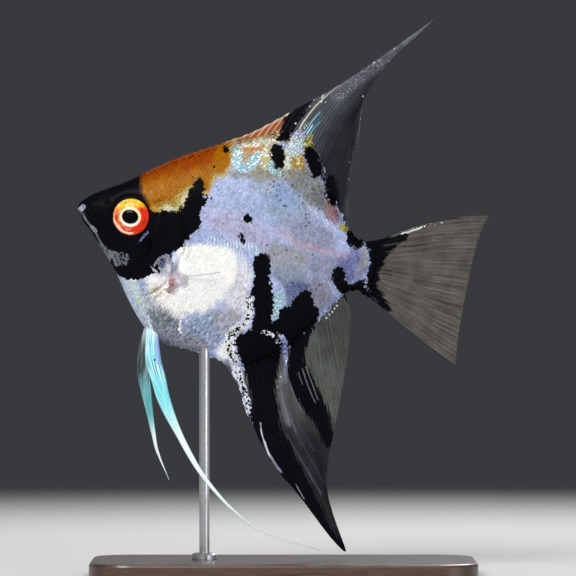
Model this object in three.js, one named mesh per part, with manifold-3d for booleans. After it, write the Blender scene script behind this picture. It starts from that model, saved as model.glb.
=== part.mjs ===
// A life-size freshwater angelfish on a plain display stand. Millimetres, +Z up.
// The stand's frame is the part's frame: its origin is the centre of the base's underside.
// The fish is drawn level in a frame of its own, with the snout's tip at the origin, +X towards the
// tail and its left side at -Y. A turned group then carries it above the base, a little nose up.
import * as THREE from "three";
import { mergeVertices } from "three/addons/utils/BufferGeometryUtils.js";
import Module from "manifold-3d";

const wasm = await Module();
wasm.setup();

// ---- Driving dimensions -------------------------------------------------------------------------
const NOSE_UP = THREE.MathUtils.degToRad(11.75);
const SNOUT = new THREE.Vector3(-55.4, 0, 99.7);
const GAP = 0.3; // between pieces that meet

// The body's ribs from the snout to the tail root. Each stands between a place on the back and one
// on the belly: [back x, back z, belly x, belly z, half width, height of the widest place from the
// belly as a share, edge]. An edge of 1 is an oval section, and more draws its two ends in to keels.
const RIBS = [
  [-0.1, 1.0, 0.2, -0.9, 0.9, 0.5, 1.0],
  [1.9, 3.4, 2.6, -3.8, 2.2, 0.5, 1.0],
  [6.0, 6.3, 6.3, -7.8, 3.5, 0.52, 1.0],
  [10.6, 9.1, 10.2, -11.7, 4.6, 0.53, 1.0],
  [15.0, 12.3, 13.8, -15.8, 5.3, 0.5, 1.02],
  [19.5, 15.7, 17.2, -20.6, 6.0, 0.47, 1.06],
  [24.2, 18.9, 20.8, -25.0, 6.7, 0.45, 1.1],
  [29.2, 21.8, 24.8, -28.9, 7.1, 0.45, 1.14],
  [34.5, 24.7, 29.6, -31.0, 7.2, 0.45, 1.18],
  [40.6, 27.3, 35.2, -31.6, 7.0, 0.46, 1.22],
  [46.6, 29.7, 41.0, -31.8, 6.5, 0.48, 1.26],
  [51.7, 31.4, 47.0, -33.2, 5.8, 0.5, 1.3],
  [56.0, 30.8, 52.8, -33.2, 5.1, 0.5, 1.32],
  [59.8, 27.8, 58.2, -29.4, 4.5, 0.5, 1.32],
  [62.7, 23.2, 62.8, -24.8, 4.0, 0.5, 1.3],
  [66.0, 17.3, 67.2, -20.0, 3.5, 0.5, 1.26],
  [70.0, 11.4, 71.2, -14.2, 3.0, 0.5, 1.2],
  [74.0, 7.7, 74.4, -8.6, 2.6, 0.5, 1.1],
  [77.0, 6.7, 77.8, -6.8, 2.2, 0.5, 1.0],
  [79.8, 7.5, 81.0, -7.8, 1.3, 0.5, 1.0],
];
const BODY_STATIONS = 34;
const BODY_ROUND = 24;

// An eye is a lens turned forwards with the side of the head: y is its middle, off the midplane.
const EYE = { x: 14.75, z: 0.2, y: 4.1, radius: 5.6, depth: 2.4, turn: THREE.MathUtils.degToRad(9) };
const COVER_THICKNESS = 1.2;

// Side outlines of the head's parts, as closed runs of places.
const GILL_EDGE = [
  [20.6, 18.5],
  [21.4, 12.0],
  [24.4, 5.4],
  [28.4, 0.2],
  [29.9, -5.0],
  [29.1, -10.4],
  [27.2, -14.6],
  [23.6, -19.4],
  [18.6, -24.4],
];
const COVER_FRONT = [
  [22.8, -17.6],
  [19.2, -16.2],
  [17.6, -11.6],
  [18.2, -6.4],
  [20.6, -0.6],
  [24.2, 3.6],
];
const UPPER_JAW = [
  [-3.0, -0.9],
  [-3.0, 5.0],
  [1.2, 4.2],
  [2.6, 0.6],
  [4.6, -2.2],
  [4.2, -4.0],
  [1.9, -2.0],
];
const LOWER_JAW = [
  [-3.0, -1.2],
  [1.7, -2.3],
  [4.1, -4.3],
  [7.2, -6.8],
  [9.2, -9.0],
  [8.4, -13.0],
  [-3.0, -13.0],
];
const TAIL_ROOT_EDGE = [
  [71.2, 14],
  [72.6, 4],
  [72.8, -4],
  [71.8, -16],
];

// Fins. Each is a fan of rays, [root x, root z, tip x, tip z, near, far], where near and far are how
// far the two handles of a ray's curve stand off its chord, as shares of its length. swing is how
// far the fin's tips and its middle sway sideways, and root and rim the thickness at each end.
const DORSAL_FIN = {
  rays: [
    [34.6, 23.0, 35.6, 25.6, 0.0, 0.0],
    [39.0, 24.4, 41.3, 29.0, 0.02, 0.02],
    [43.6, 25.2, 47.2, 33.7, 0.04, 0.03],
    [47.6, 26.4, 52.6, 38.4, 0.06, 0.04],
    [51.4, 27.8, 58.4, 43.2, 0.09, 0.05],
    [54.2, 28.9, 64.0, 48.3, 0.13, 0.06],
    [56.0, 28.5, 73.3, 57.9, 0.14, 0.04],
    [58.0, 26.7, 83.7, 69.0, 0.13, 0.03],
    [60.2, 24.1, 77.2, 60.5, 0.12, 0.03],
    [62.8, 21.1, 72.5, 52.6, 0.1, 0.02],
    [65.5, 17.2, 70.2, 47.4, 0.08, 0.02],
    [68.2, 13.4, 69.4, 43.7, 0.06, 0.02],
    [70.9, 9.8, 69.7, 39.3, 0.05, 0.03],
    [73.2, 6.7, 70.3, 35.0, 0.06, 0.05],
  ],
  lastSpine: 5 / 13,
  swing: [-1.5, 0.8, 2.4],
  root: 1.6,
  rim: 0.5,
};
const ANAL_FIN = {
  rays: [
    [46.2, -31.0, 47.0, -33.4, 0.0, 0.0],
    [49.0, -31.0, 52.4, -39.0, -0.02, -0.02],
    [51.4, -30.4, 56.6, -45.9, -0.03, -0.02],
    [53.4, -29.4, 61.2, -52.4, -0.04, -0.03],
    [55.3, -27.9, 66.9, -58.6, -0.05, -0.03],
    [56.9, -26.5, 74.8, -64.8, -0.05, -0.03],
    [58.6, -25.3, 84.6, -73.4, -0.05, -0.03],
    [60.7, -23.2, 89.7, -76.5, -0.05, -0.03],
    [62.7, -21.1, 85.5, -69.6, -0.04, -0.02],
    [64.8, -19.3, 81.7, -62.1, -0.03, -0.01],
    [66.9, -17.5, 80.0, -53.7, -0.01, 0.0],
    [68.9, -14.9, 80.0, -44.3, 0.01, 0.01],
    [70.9, -12.6, 79.8, -35.5, 0.03, 0.02],
    [72.5, -9.7, 79.5, -27.3, 0.07, 0.05],
    [74.2, -7.2, 78.8, -18.6, 0.12, 0.1],
  ],
  lastSpine: 5 / 14,
  swing: [1.4, -0.7, 2.2],
  root: 1.6,
  rim: 0.5,
};
const TAIL_FIN = {
  rays: [
    [80.2, 7.3, 109.0, 20.2, 0.09, 0.08],
    [80.4, 4.6, 107.8, 14.4, 0.05, 0.04],
    [80.6, 2.0, 107.3, 8.0, 0.02, 0.02],
    [80.8, -0.4, 107.3, 1.0, 0.0, 0.0],
    [81.0, -2.8, 107.5, -6.8, -0.01, -0.01],
    [81.2, -5.4, 107.9, -14.4, -0.02, -0.01],
    [81.4, -7.6, 108.6, -21.2, -0.01, -0.02],
  ],
  swing: [2.2, 1.0, 3.0],
  root: 1.9,
  rim: 0.5,
};
const PECTORAL_FIN = {
  rays: [
    [28.7, -13.8, 41.2, -9.2, -0.02, 0.04],
    [29.0, -14.6, 45.0, -11.0, -0.01, 0.03],
    [29.2, -15.4, 47.2, -14.2, 0.0, 0.0],
    [29.2, -16.2, 46.4, -17.8, 0.01, 0.0],
    [29.0, -16.9, 42.6, -20.4, 0.04, -0.02],
    [28.7, -17.4, 37.8, -21.4, 0.06, -0.03],
  ],
  // It leaves the body at side and swings out by flare of its reach.
  side: 6.2,
  flare: 0.32,
  root: 1.2,
  rim: 0.5,
};
// Pelvic fins: a ribbon down the middle of each, [x, z, sideways, width, thickness].
const PELVIC_FINS = {
  left: [
    [25.9, -27.6, -1.4, 3.0, 1.6],
    [27.0, -32.0, -2.1, 3.9, 1.35],
    [28.5, -37.0, -2.8, 4.4, 1.2],
    [30.8, -41.3, -3.4, 4.4, 1.1],
    [33.0, -45.7, -4.0, 4.2, 1.0],
    [35.9, -50.1, -4.6, 3.5, 0.9],
    [39.2, -54.4, -5.1, 2.1, 0.8],
    [42.8, -58.8, -5.5, 1.6, 0.7],
    [46.8, -63.1, -5.9, 1.3, 0.65],
    [51.6, -67.2, -6.2, 1.0, 0.6],
    [57.7, -71.4, -6.5, 0.7, 0.55],
    [66.5, -75.4, -6.6, 0.5, 0.5],
    [82.6, -77.0, -6.4, 0.5, 0.5],
  ],
  right: [
    [25.4, -28.4, 1.4, 3.0, 1.6],
    [25.5, -34.8, 2.4, 3.6, 1.3],
    [26.2, -40.2, 3.2, 3.4, 1.1],
    [28.0, -45.3, 3.8, 2.8, 0.9],
    [29.9, -50.2, 4.4, 2.0, 0.8],
    [32.2, -55.9, 4.9, 1.2, 0.7],
    [34.3, -60.6, 5.2, 0.8, 0.6],
    [38.9, -67.4, 5.6, 0.5, 0.5],
  ],
};
const PELVIC_STEPS = 20;

// Stand.
const BASE = { length: 104, width: 54, height: 4.5, corner: 11, bevel: 0.8 };
const ROD = { x: -21.4, radius: 1.4, foot: 1.5, top: 64.5, segments: 24 };
const COLLAR = { radius: 3.4, height: 1.8, bevel: 0.5 };
const FIT = 0.1; // around the rod in its base and collar

// ---- Curves -------------------------------------------------------------------------------------
// A smooth curve through rows of numbers: t is 0 at the first row and 1 at the last.
function along(rows, t) {
  const place = t * (rows.length - 1);
  const first = Math.min(Math.floor(place), rows.length - 2);
  const f = place - first;
  const row = (i) => rows[THREE.MathUtils.clamp(i, 0, rows.length - 1)];
  const [a, b, c, d] = [first - 1, first, first + 1, first + 2].map(row);
  return b.map((v, k) => {
    const slope = (c[k] - a[k]) / 2;
    const next = (d[k] - v) / 2;
    const rise = c[k] - v;
    return v + f * (slope + f * (3 * rise - 2 * slope - next + f * (slope + next - 2 * rise)));
  });
}

const steps = (count) => Array.from({ length: count + 1 }, (_, i) => i / count);
const smooth = (rows, count) => steps(count).map((t) => along(rows, t));

// A closed run of places, moved out by grow. The run goes round clockwise in the side view.
function outline(places, grow = 0) {
  return places.map(([x, z], i) => {
    const [px, pz] = places.at(i - 1);
    const [nx, nz] = places[(i + 1) % places.length];
    const way = new THREE.Vector2(nx - px, nz - pz).normalize();
    return new THREE.Vector2(x - way.y * grow, z + way.x * grow);
  });
}

// ---- Solids -------------------------------------------------------------------------------------
function manifoldOf(geometry) {
  const bare = geometry.clone();
  for (const name of ["normal", "uv"]) bare.deleteAttribute(name);
  const merged = mergeVertices(bare, 1e-3);
  return new wasm.Manifold(
    new wasm.Mesh({
      numProp: 3,
      vertProperties: merged.attributes.position.array,
      triVerts: new Uint32Array(merged.index.array),
    }),
  );
}

function geometryOf(solid) {
  const mesh = solid.getMesh();
  const geometry = new THREE.BufferGeometry();
  geometry.setAttribute("position", new THREE.BufferAttribute(mesh.vertProperties, 3));
  geometry.setIndex(new THREE.BufferAttribute(mesh.triVerts, 1));
  return geometry;
}

// A solid through rings of equal size. Places j and last - j of a ring face each other, so each end
// closes with a strip between them.
function loft(rings) {
  const size = rings[0].length;
  const triangles = [];
  for (let i = 0; i + 1 < rings.length; i++)
    for (let j = 0; j < size; j++) {
      const [a, b] = [i * size + j, i * size + ((j + 1) % size)];
      triangles.push(a, b, b + size, a, b + size, a + size);
    }
  const end = (rings.length - 1) * size;
  for (let j = 0; j + 1 < size / 2; j++) {
    const [a, b, c, d] = [j, j + 1, size - 2 - j, size - 1 - j];
    triangles.push(a, c, b, a, d, c);
    triangles.push(end + a, end + b, end + c, end + a, end + c, end + d);
  }
  const geometry = new THREE.BufferGeometry();
  const places = rings.flat().flatMap((p) => [p.x, p.y, p.z]);
  geometry.setAttribute("position", new THREE.Float32BufferAttribute(places, 3));
  geometry.setIndex(triangles);
  return manifoldOf(geometry);
}

// A prism across the whole fish over an outline in the side view.
function prism(places, grow = 0, from = -30, to = 30) {
  const shape = new THREE.Shape(outline(places, grow));
  const block = new THREE.ExtrudeGeometry(shape, { depth: to - from, bevelEnabled: false });
  return manifoldOf(block.rotateX(Math.PI / 2).translate(0, to, 0));
}

// ---- Body ---------------------------------------------------------------------------------------
function bodyRing(t, grow) {
  const [backX, backZ, bellyX, bellyZ, halfWidth, share, edge] = along(RIBS, t);
  const back = new THREE.Vector2(backX, backZ);
  const belly = new THREE.Vector2(bellyX, bellyZ);
  const rise = back.clone().sub(belly).setLength(grow);
  back.add(rise);
  belly.sub(rise);
  const waist = belly.clone().lerp(back, share);
  return Array.from({ length: BODY_ROUND }, (_, j) => {
    const angle = (2 * Math.PI * (j + 0.5)) / BODY_ROUND;
    const [up, out] = [Math.cos(angle), Math.sin(angle)];
    const place = waist.clone().lerp(up > 0 ? back : belly, Math.abs(up));
    const width = Math.max(halfWidth + grow, 0.2) * Math.sign(out) * Math.abs(out) ** edge;
    return new THREE.Vector3(place.x, -width, place.y);
  });
}

const body = (grow) => loft(steps(BODY_STATIONS).map((t) => bodyRing(t, grow)));

// ---- Fins ---------------------------------------------------------------------------------------
// A place on a fin: s runs from the first ray to the last, and t up a ray from its root.
function finPlace(fin, s, t) {
  const [rootX, rootZ, tipX, tipZ, near, far] = along(fin.rays, s);
  const root = new THREE.Vector2(rootX, rootZ);
  const tip = new THREE.Vector2(tipX, tipZ);
  const chord = tip.clone().sub(root);
  const off = new THREE.Vector2(-chord.y, chord.x);
  const handle = (share, bow) => root.clone().addScaledVector(chord, share).addScaledVector(off, bow);
  return new THREE.CubicBezierCurve(root, handle(1 / 3, near), handle(2 / 3, far), tip).getPoint(t);
}

function sway(fin, s, t) {
  const [lean, wave, turns] = fin.swing;
  return t * t * (lean * (s - 0.3) + wave * Math.sin(turns * Math.PI * s));
}

// The plate between two rays. Its middle surface is at side, a function of s and t.
function finPlate(fin, across, up, from = 0, to = 1, side = (s, t) => sway(fin, s, t)) {
  const fan = steps(across).map((f) => THREE.MathUtils.lerp(from, to, f));
  const rings = steps(up).map((t) => {
    const half = THREE.MathUtils.lerp(fin.root, fin.rim, Math.sqrt(t)) / 2;
    const face = (way) =>
      fan.map((s) => {
        const { x, y: z } = finPlace(fin, s, t);
        return new THREE.Vector3(x, side(s, t) + way * half, z);
      });
    return [...face(-1), ...face(1).reverse()];
  });
  return closed(loft(rings));
}

// A solid with its faces turned out, whichever way its rings went round.
function closed(solid) {
  return solid.volume() < 0 ? flipped(solid) : solid;
}

function flipped(solid) {
  const geometry = geometryOf(solid);
  const index = geometry.index.array;
  for (let i = 0; i < index.length; i += 3) [index[i + 1], index[i + 2]] = [index[i + 2], index[i + 1]];
  return manifoldOf(geometry);
}

// A ribbon fin: an oval section swept down its middle line.
function ribbon(rows) {
  const section = 8;
  const rings = steps(PELVIC_STEPS).map((t) => {
    const [x, z, side, width, thickness] = along(rows, t);
    const [ax, az] = along(rows, Math.max(t - 0.01, 0));
    const [bx, bz] = along(rows, Math.min(t + 0.01, 1));
    const across = new THREE.Vector2(bz - az, ax - bx).normalize().multiplyScalar(width / 2);
    return Array.from({ length: section }, (_, j) => {
      const angle = (2 * Math.PI * (j + 0.5)) / section;
      const [c, s] = [Math.cos(angle), Math.sin(angle)];
      return new THREE.Vector3(x + across.x * c, side + (s * thickness) / 2, z + across.y * c);
    });
  });
  return closed(loft(rings));
}

// ---- Materials and nodes ------------------------------------------------------------------------
const finish = (color, roughness = 0.45, metalness = 0) =>
  new THREE.MeshStandardMaterial({ color, roughness, metalness });
const blackSkin = finish(0x0b0b12, 0.4);
const silverSkin = finish(0xb9bcd2, 0.35, 0.2);
const clearFin = finish(0x8d8f9b, 0.5);
const darkFin = finish(0x22222b, 0.5);
const blueFin = finish(0x8fd0d6, 0.4);
const redEye = finish(0xe8451c, 0.15);
const wood = finish(0x33241a, 0.5);
const steel = finish(0xa7a9ad, 0.3, 1);

function node(name, solid, material, parent) {
  const mesh = new THREE.Mesh(geometryOf(solid), material);
  mesh.name = name;
  parent.add(mesh);
  return mesh;
}

const fish = new THREE.Group();
fish.position.copy(SNOUT);
fish.rotation.y = NOSE_UP;
fish.updateMatrix();

// ---- Head, trunk and tail root ------------------------------------------------------------------
const whole = body(0);
const room = body(GAP); // keeps the fins clear of the flesh
const gillEdge = smooth(GILL_EDGE, 20);
const headSide = [[-9, -40], [-9, 30], [gillEdge[0][0], 30], ...gillEdge, [gillEdge.at(-1)[0], -40]];
const tailEdge = smooth(TAIL_ROOT_EDGE, 8);
const tailSide = [...tailEdge.toReversed(), [tailEdge[0][0], 30], [99, 30], [99, -40], [tailEdge.at(-1)[0], -40]];
const coverSide = [...gillEdge.filter(([, z]) => z < 4.4 && z > -18.4), ...smooth(COVER_FRONT, 12)];

function eyeball(side, radius, depth) {
  const ball = new THREE.SphereGeometry(1, 20, 10).rotateX(Math.PI / 2);
  const lens = ball.scale(radius, depth, radius).rotateZ(side * EYE.turn);
  return manifoldOf(lens.translate(EYE.x, side * EYE.y, EYE.z));
}

let head = whole.intersect(prism(headSide, -GAP / 2));
const coverShell = head.subtract(body(-COVER_THICKNESS));
for (const [name, side] of [["left", -1], ["right", 1]]) {
  const [from, to] = side < 0 ? [-20, 0] : [0, 20];
  const cover = coverShell.intersect(prism(coverSide, 0, from, to));
  node("gill_cover_" + name, cover, blackSkin, fish);
}
head = head.subtract(prism(coverSide, GAP).subtract(body(-COVER_THICKNESS - GAP)));
for (const [name, side] of [["left", -1], ["right", 1]]) {
  head = head.subtract(eyeball(side, EYE.radius + GAP, EYE.depth + GAP));
  node("eye_" + name, eyeball(side, EYE.radius, EYE.depth), redEye, fish);
}
node("upper_jaw", head.intersect(prism(UPPER_JAW)), blackSkin, fish);
node("lower_jaw", head.intersect(prism(LOWER_JAW)), blackSkin, fish);
head = head.subtract(prism(UPPER_JAW, GAP)).subtract(prism(LOWER_JAW, GAP));
node("head", head, blackSkin, fish);

const tailRoot = whole.intersect(prism(tailSide, -GAP / 2));
node("tail_root", tailRoot, silverSkin, fish);

// The rod is upright in the stand's frame, so its socket in the belly is turned into the fish's.
const bore = new THREE.CylinderGeometry(ROD.radius + GAP, ROD.radius + GAP, ROD.top, ROD.segments)
  .rotateX(Math.PI / 2)
  .translate(ROD.x, 0, ROD.top / 2 + GAP)
  .applyMatrix4(fish.matrix.clone().invert());
const trunk = whole
  .subtract(prism(headSide, GAP / 2))
  .subtract(prism(tailSide, GAP / 2))
  .subtract(manifoldOf(bore));
node("trunk", trunk, silverSkin, fish);

// ---- Fins on the body ---------------------------------------------------------------------------
const SPLIT = 0.004; // half the gap between spines and soft rays, as a share of the fan
for (const [name, fin] of [["dorsal_fin", DORSAL_FIN], ["anal_fin", ANAL_FIN]]) {
  const spines = finPlate(fin, 6, 6, 0, fin.lastSpine - SPLIT);
  const rays = finPlate(fin, 12, 8, fin.lastSpine + SPLIT);
  node(name + "_spines", spines.subtract(room), darkFin, fish);
  node(name + "_rays", rays.subtract(room), clearFin, fish);
}
node("tail_fin", finPlate(TAIL_FIN, 14, 6).subtract(room), clearFin, fish);
for (const [name, way] of [["left", -1], ["right", 1]]) {
  const side = (s, t) => {
    const reach = finPlace(PECTORAL_FIN, s, t).x - finPlace(PECTORAL_FIN, s, 0).x;
    return way * (PECTORAL_FIN.side + PECTORAL_FIN.flare * reach);
  };
  const pectoral = finPlate(PECTORAL_FIN, 8, 5, 0, 1, side);
  node("pectoral_fin_" + name, pectoral.subtract(room), clearFin, fish);
  node("pelvic_fin_" + name, ribbon(PELVIC_FINS[name]).subtract(room), blueFin, fish);
}

// ---- Stand --------------------------------------------------------------------------------------
const stand = new THREE.Group();

function basePlate() {
  const [x, y, r] = [BASE.length / 2 - BASE.bevel, BASE.width / 2 - BASE.bevel, BASE.corner - BASE.bevel];
  const shape = new THREE.Shape();
  shape.absarc(x - r, y - r, r, 0, Math.PI / 2);
  shape.absarc(r - x, y - r, r, Math.PI / 2, Math.PI);
  shape.absarc(r - x, r - y, r, Math.PI, 1.5 * Math.PI);
  shape.absarc(x - r, r - y, r, 1.5 * Math.PI, 2 * Math.PI);
  const plate = new THREE.ExtrudeGeometry(shape, {
    depth: BASE.height - 2 * BASE.bevel,
    bevelThickness: BASE.bevel,
    bevelSize: BASE.bevel,
    bevelSegments: 2,
    curveSegments: 8,
  });
  return manifoldOf(plate.translate(0, 0, BASE.bevel));
}

// A rod or socket of the stand from one height to another.
function upright(radius, from, to) {
  const rod = new THREE.CylinderGeometry(radius, radius, to - from, ROD.segments);
  return manifoldOf(rod.rotateX(Math.PI / 2).translate(ROD.x, 0, (from + to) / 2));
}

const socket = upright(ROD.radius + FIT, ROD.foot - FIT, BASE.height + 1);
node("stand_base", basePlate().subtract(socket), wood, stand);
node("stand_rod", upright(ROD.radius, ROD.foot, ROD.top), steel, stand);
const profile = [
  [ROD.radius + FIT, FIT],
  [COLLAR.radius, FIT],
  [COLLAR.radius, COLLAR.height - COLLAR.bevel],
  [COLLAR.radius - COLLAR.bevel, COLLAR.height],
  [ROD.radius + FIT, COLLAR.height],
  [ROD.radius + FIT, FIT],
].map(([r, z]) => new THREE.Vector2(r, z));
const collar = new THREE.LatheGeometry(profile, ROD.segments).rotateX(Math.PI / 2);
node("stand_collar", closed(manifoldOf(collar.translate(ROD.x, 0, BASE.height))), steel, stand);

const angelfish = new THREE.Group();
angelfish.add(fish, stand);
export default angelfish;
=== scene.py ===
"""A life-size freshwater angelfish on a plain display stand, finished around its solid model.

The fish is worked out level, in millimetres, in a frame of its own: the snout's tip is the origin,
+X runs to the tail, +Z is up and its left side is at -Y. placed() turns that into the model's frame.
"""

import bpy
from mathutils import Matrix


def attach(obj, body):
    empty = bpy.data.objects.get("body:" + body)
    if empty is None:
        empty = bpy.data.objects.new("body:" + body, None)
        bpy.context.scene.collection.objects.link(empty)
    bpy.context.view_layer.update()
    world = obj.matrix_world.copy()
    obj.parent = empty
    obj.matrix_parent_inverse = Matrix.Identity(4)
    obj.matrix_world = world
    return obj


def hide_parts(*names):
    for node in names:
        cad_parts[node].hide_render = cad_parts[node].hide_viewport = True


bl_info = {
    "name": "Angelfish on a Stand",
    "version": (1, 0, 0),
    "blender": (4, 5, 0),
    "location": "3D View > Sidebar > Angelfish",
    "description": "Skin, scales, eyes, fins and stand of a life-size angelfish",
    "category": "Add Mesh",
}

import math

import bpy
import numpy as np
from bpy.props import FloatProperty, FloatVectorProperty, IntProperty, PointerProperty
from bpy.types import Operator, Panel, PropertyGroup
from mathutils import Vector
from mathutils.bvhtree import BVHTree

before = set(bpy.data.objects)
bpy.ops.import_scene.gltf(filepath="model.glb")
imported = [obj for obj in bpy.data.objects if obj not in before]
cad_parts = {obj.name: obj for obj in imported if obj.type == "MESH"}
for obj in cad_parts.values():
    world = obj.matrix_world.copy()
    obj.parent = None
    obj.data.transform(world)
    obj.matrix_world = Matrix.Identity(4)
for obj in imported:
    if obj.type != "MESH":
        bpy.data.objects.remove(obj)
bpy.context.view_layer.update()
MM = 0.001
SIDES = ((-1, "left"), (1, "right"))

# ---- The solid model's measures ----
NOSE_UP = math.radians(11.75)
SNOUT = (-55.4, 0, 99.7)

# Back x and z, belly x and z, half width, height of the widest place as a share, edge of the section.
RIBS = (
    (-0.1, 1, 0.2, -0.9, 0.9, 0.5, 1),
    (1.9, 3.4, 2.6, -3.8, 2.2, 0.5, 1),
    (6, 6.3, 6.3, -7.8, 3.5, 0.52, 1),
    (10.6, 9.1, 10.2, -11.7, 4.6, 0.53, 1),
    (15, 12.3, 13.8, -15.8, 5.3, 0.5, 1.02),
    (19.5, 15.7, 17.2, -20.6, 6, 0.47, 1.06),
    (24.2, 18.9, 20.8, -25, 6.7, 0.45, 1.1),
    (29.2, 21.8, 24.8, -28.9, 7.1, 0.45, 1.14),
    (34.5, 24.7, 29.6, -31, 7.2, 0.45, 1.18),
    (40.6, 27.3, 35.2, -31.6, 7, 0.46, 1.22),
    (46.6, 29.7, 41, -31.8, 6.5, 0.48, 1.26),
    (51.7, 31.4, 47, -33.2, 5.8, 0.5, 1.3),
    (56, 30.8, 52.8, -33.2, 5.1, 0.5, 1.32),
    (59.8, 27.8, 58.2, -29.4, 4.5, 0.5, 1.32),
    (62.7, 23.2, 62.8, -24.8, 4, 0.5, 1.3),
    (66, 17.3, 67.2, -20, 3.5, 0.5, 1.26),
    (70, 11.4, 71.2, -14.2, 3, 0.5, 1.2),
    (74, 7.7, 74.4, -8.6, 2.6, 0.5, 1.1),
    (77, 6.7, 77.8, -6.8, 2.2, 0.5, 1),
    (79.8, 7.5, 81, -7.8, 1.3, 0.5, 1),
)
EYE = {"x": 14.75, "z": 0.2, "y": 4.1, "radius": 5.6, "depth": 2.4, "turn": math.radians(9)}

# A fin is a fan of rays: root x and z, tip x and z, and the bows of its two handles. swing is the
# lean and the wave of its sway, and soft the share of the fan where its soft rays begin.
DORSAL_RAYS = (
    (34.6, 23, 35.6, 25.6, 0, 0),
    (39, 24.4, 41.3, 29, 0.02, 0.02),
    (43.6, 25.2, 47.2, 33.7, 0.04, 0.03),
    (47.6, 26.4, 52.6, 38.4, 0.06, 0.04),
    (51.4, 27.8, 58.4, 43.2, 0.09, 0.05),
    (54.2, 28.9, 64, 48.3, 0.13, 0.06),
    (56, 28.5, 73.3, 57.9, 0.14, 0.04),
    (58, 26.7, 83.7, 69, 0.13, 0.03),
    (60.2, 24.1, 77.2, 60.5, 0.12, 0.03),
    (62.8, 21.1, 72.5, 52.6, 0.1, 0.02),
    (65.5, 17.2, 70.2, 47.4, 0.08, 0.02),
    (68.2, 13.4, 69.4, 43.7, 0.06, 0.02),
    (70.9, 9.8, 69.7, 39.3, 0.05, 0.03),
    (73.2, 6.7, 70.3, 35, 0.06, 0.05),
)
DORSAL_FIN = {"rays": DORSAL_RAYS, "soft": 5 / 13, "swing": (-1.5, 0.8, 2.4)}
ANAL_RAYS = (
    (46.2, -31, 47, -33.4, 0, 0),
    (49, -31, 52.4, -39, -0.02, -0.02),
    (51.4, -30.4, 56.6, -45.9, -0.03, -0.02),
    (53.4, -29.4, 61.2, -52.4, -0.04, -0.03),
    (55.3, -27.9, 66.9, -58.6, -0.05, -0.03),
    (56.9, -26.5, 74.8, -64.8, -0.05, -0.03),
    (58.6, -25.3, 84.6, -73.4, -0.05, -0.03),
    (60.7, -23.2, 89.7, -76.5, -0.05, -0.03),
    (62.7, -21.1, 85.5, -69.6, -0.04, -0.02),
    (64.8, -19.3, 81.7, -62.1, -0.03, -0.01),
    (66.9, -17.5, 80, -53.7, -0.01, 0),
    (68.9, -14.9, 80, -44.3, 0.01, 0.01),
    (70.9, -12.6, 79.8, -35.5, 0.03, 0.02),
    (72.5, -9.7, 79.5, -27.3, 0.07, 0.05),
    (74.2, -7.2, 78.8, -18.6, 0.12, 0.1),
)
ANAL_FIN = {"rays": ANAL_RAYS, "soft": 5 / 14, "swing": (1.4, -0.7, 2.2)}
TAIL_RAYS = (
    (80.2, 7.3, 109, 20.2, 0.09, 0.08),
    (80.4, 4.6, 107.8, 14.4, 0.05, 0.04),
    (80.6, 2, 107.3, 8, 0.02, 0.02),
    (80.8, -0.4, 107.3, 1, 0, 0),
    (81, -2.8, 107.5, -6.8, -0.01, -0.01),
    (81.2, -5.4, 107.9, -14.4, -0.02, -0.01),
    (81.4, -7.6, 108.6, -21.2, -0.01, -0.02),
)
TAIL_FIN = {"rays": TAIL_RAYS, "swing": (2.2, 1, 3)}
PECTORAL_RAYS = (
    (28.7, -13.8, 41.2, -9.2, -0.02, 0.04),
    (29, -14.6, 45, -11, -0.01, 0.03),
    (29.2, -15.4, 47.2, -14.2, 0, 0),
    (29.2, -16.2, 46.4, -17.8, 0.01, 0),
    (29, -16.9, 42.6, -20.4, 0.04, -0.02),
    (28.7, -17.4, 37.8, -21.4, 0.06, -0.03),
)
PECTORAL_FIN = {"rays": PECTORAL_RAYS, "side": 6.2, "flare": 0.32}
# The middle of each pelvic fin: x, z, sideways, width, thickness.
PELVIC_FINS = {
    "left": (
        (25.9, -27.6, -1.4, 3, 1.6),
        (27, -32, -2.1, 3.9, 1.35),
        (28.5, -37, -2.8, 4.4, 1.2),
        (30.8, -41.3, -3.4, 4.1, 1.1),
        (33, -45.7, -4, 3.6, 1),
        (35.9, -50.1, -4.6, 2.8, 0.9),
        (39.2, -54.4, -5.1, 1.9, 0.8),
        (42.8, -58.8, -5.5, 1.6, 0.7),
        (46.8, -63.1, -5.9, 1.3, 0.65),
        (51.6, -67.2, -6.2, 1, 0.6),
        (57.7, -71.4, -6.5, 0.7, 0.55),
        (66.5, -75.4, -6.6, 0.5, 0.5),
        (82.6, -77, -6.4, 0.5, 0.5),
    ),
    "right": (
        (25.4, -28.4, 1.4, 3, 1.6),
        (25.5, -34.8, 2.4, 3.6, 1.3),
        (26.2, -40.2, 3.2, 3.4, 1.1),
        (28, -45.3, 3.8, 2.8, 0.9),
        (29.9, -50.2, 4.4, 2, 0.8),
        (32.2, -55.9, 4.9, 1.2, 0.7),
        (34.3, -60.6, 5.2, 0.8, 0.6),
        (38.9, -67.4, 5.6, 0.5, 0.5),
    ),
}

# ---- Lines and folds of the head, in the fish's side view ----
MOUTH = ((-0.6, -0.5), (1.2, -1.7), (3, -3.2), (4.9, -4.7))
UPPER_LIP = ((1.6, 3.4), (2.4, 0.9), (4.4, -1.4), (6, -3.4), (5.8, -5.2), (5, -5.4))
LOWER_LIP = ((1, -3), (3.6, -4.8), (6, -6.6))
NOSTRIL = (7.6, 2.7)
CHEEK_EDGE = ((19.6, 4), (20.6, -1.5), (20.4, -7.5), (18.2, -12.2), (14.6, -14.4), (11, -13.2))
COVER_SEAM = ((20.4, -8.5), (23.5, -12.2), (28.6, -12.6))
COVER = (
    (18.5, 3), (22, 6.2), (25.2, 5), (28.4, 0.4), (29.9, -4.9), (29.3, -10.2), (27.4, -14.6), (24.2, -18),
    (20.6, -20), (16.8, -19.4), (14, -15.6), (15.8, -12.5), (19, -8), (19.5, -1),
)
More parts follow.
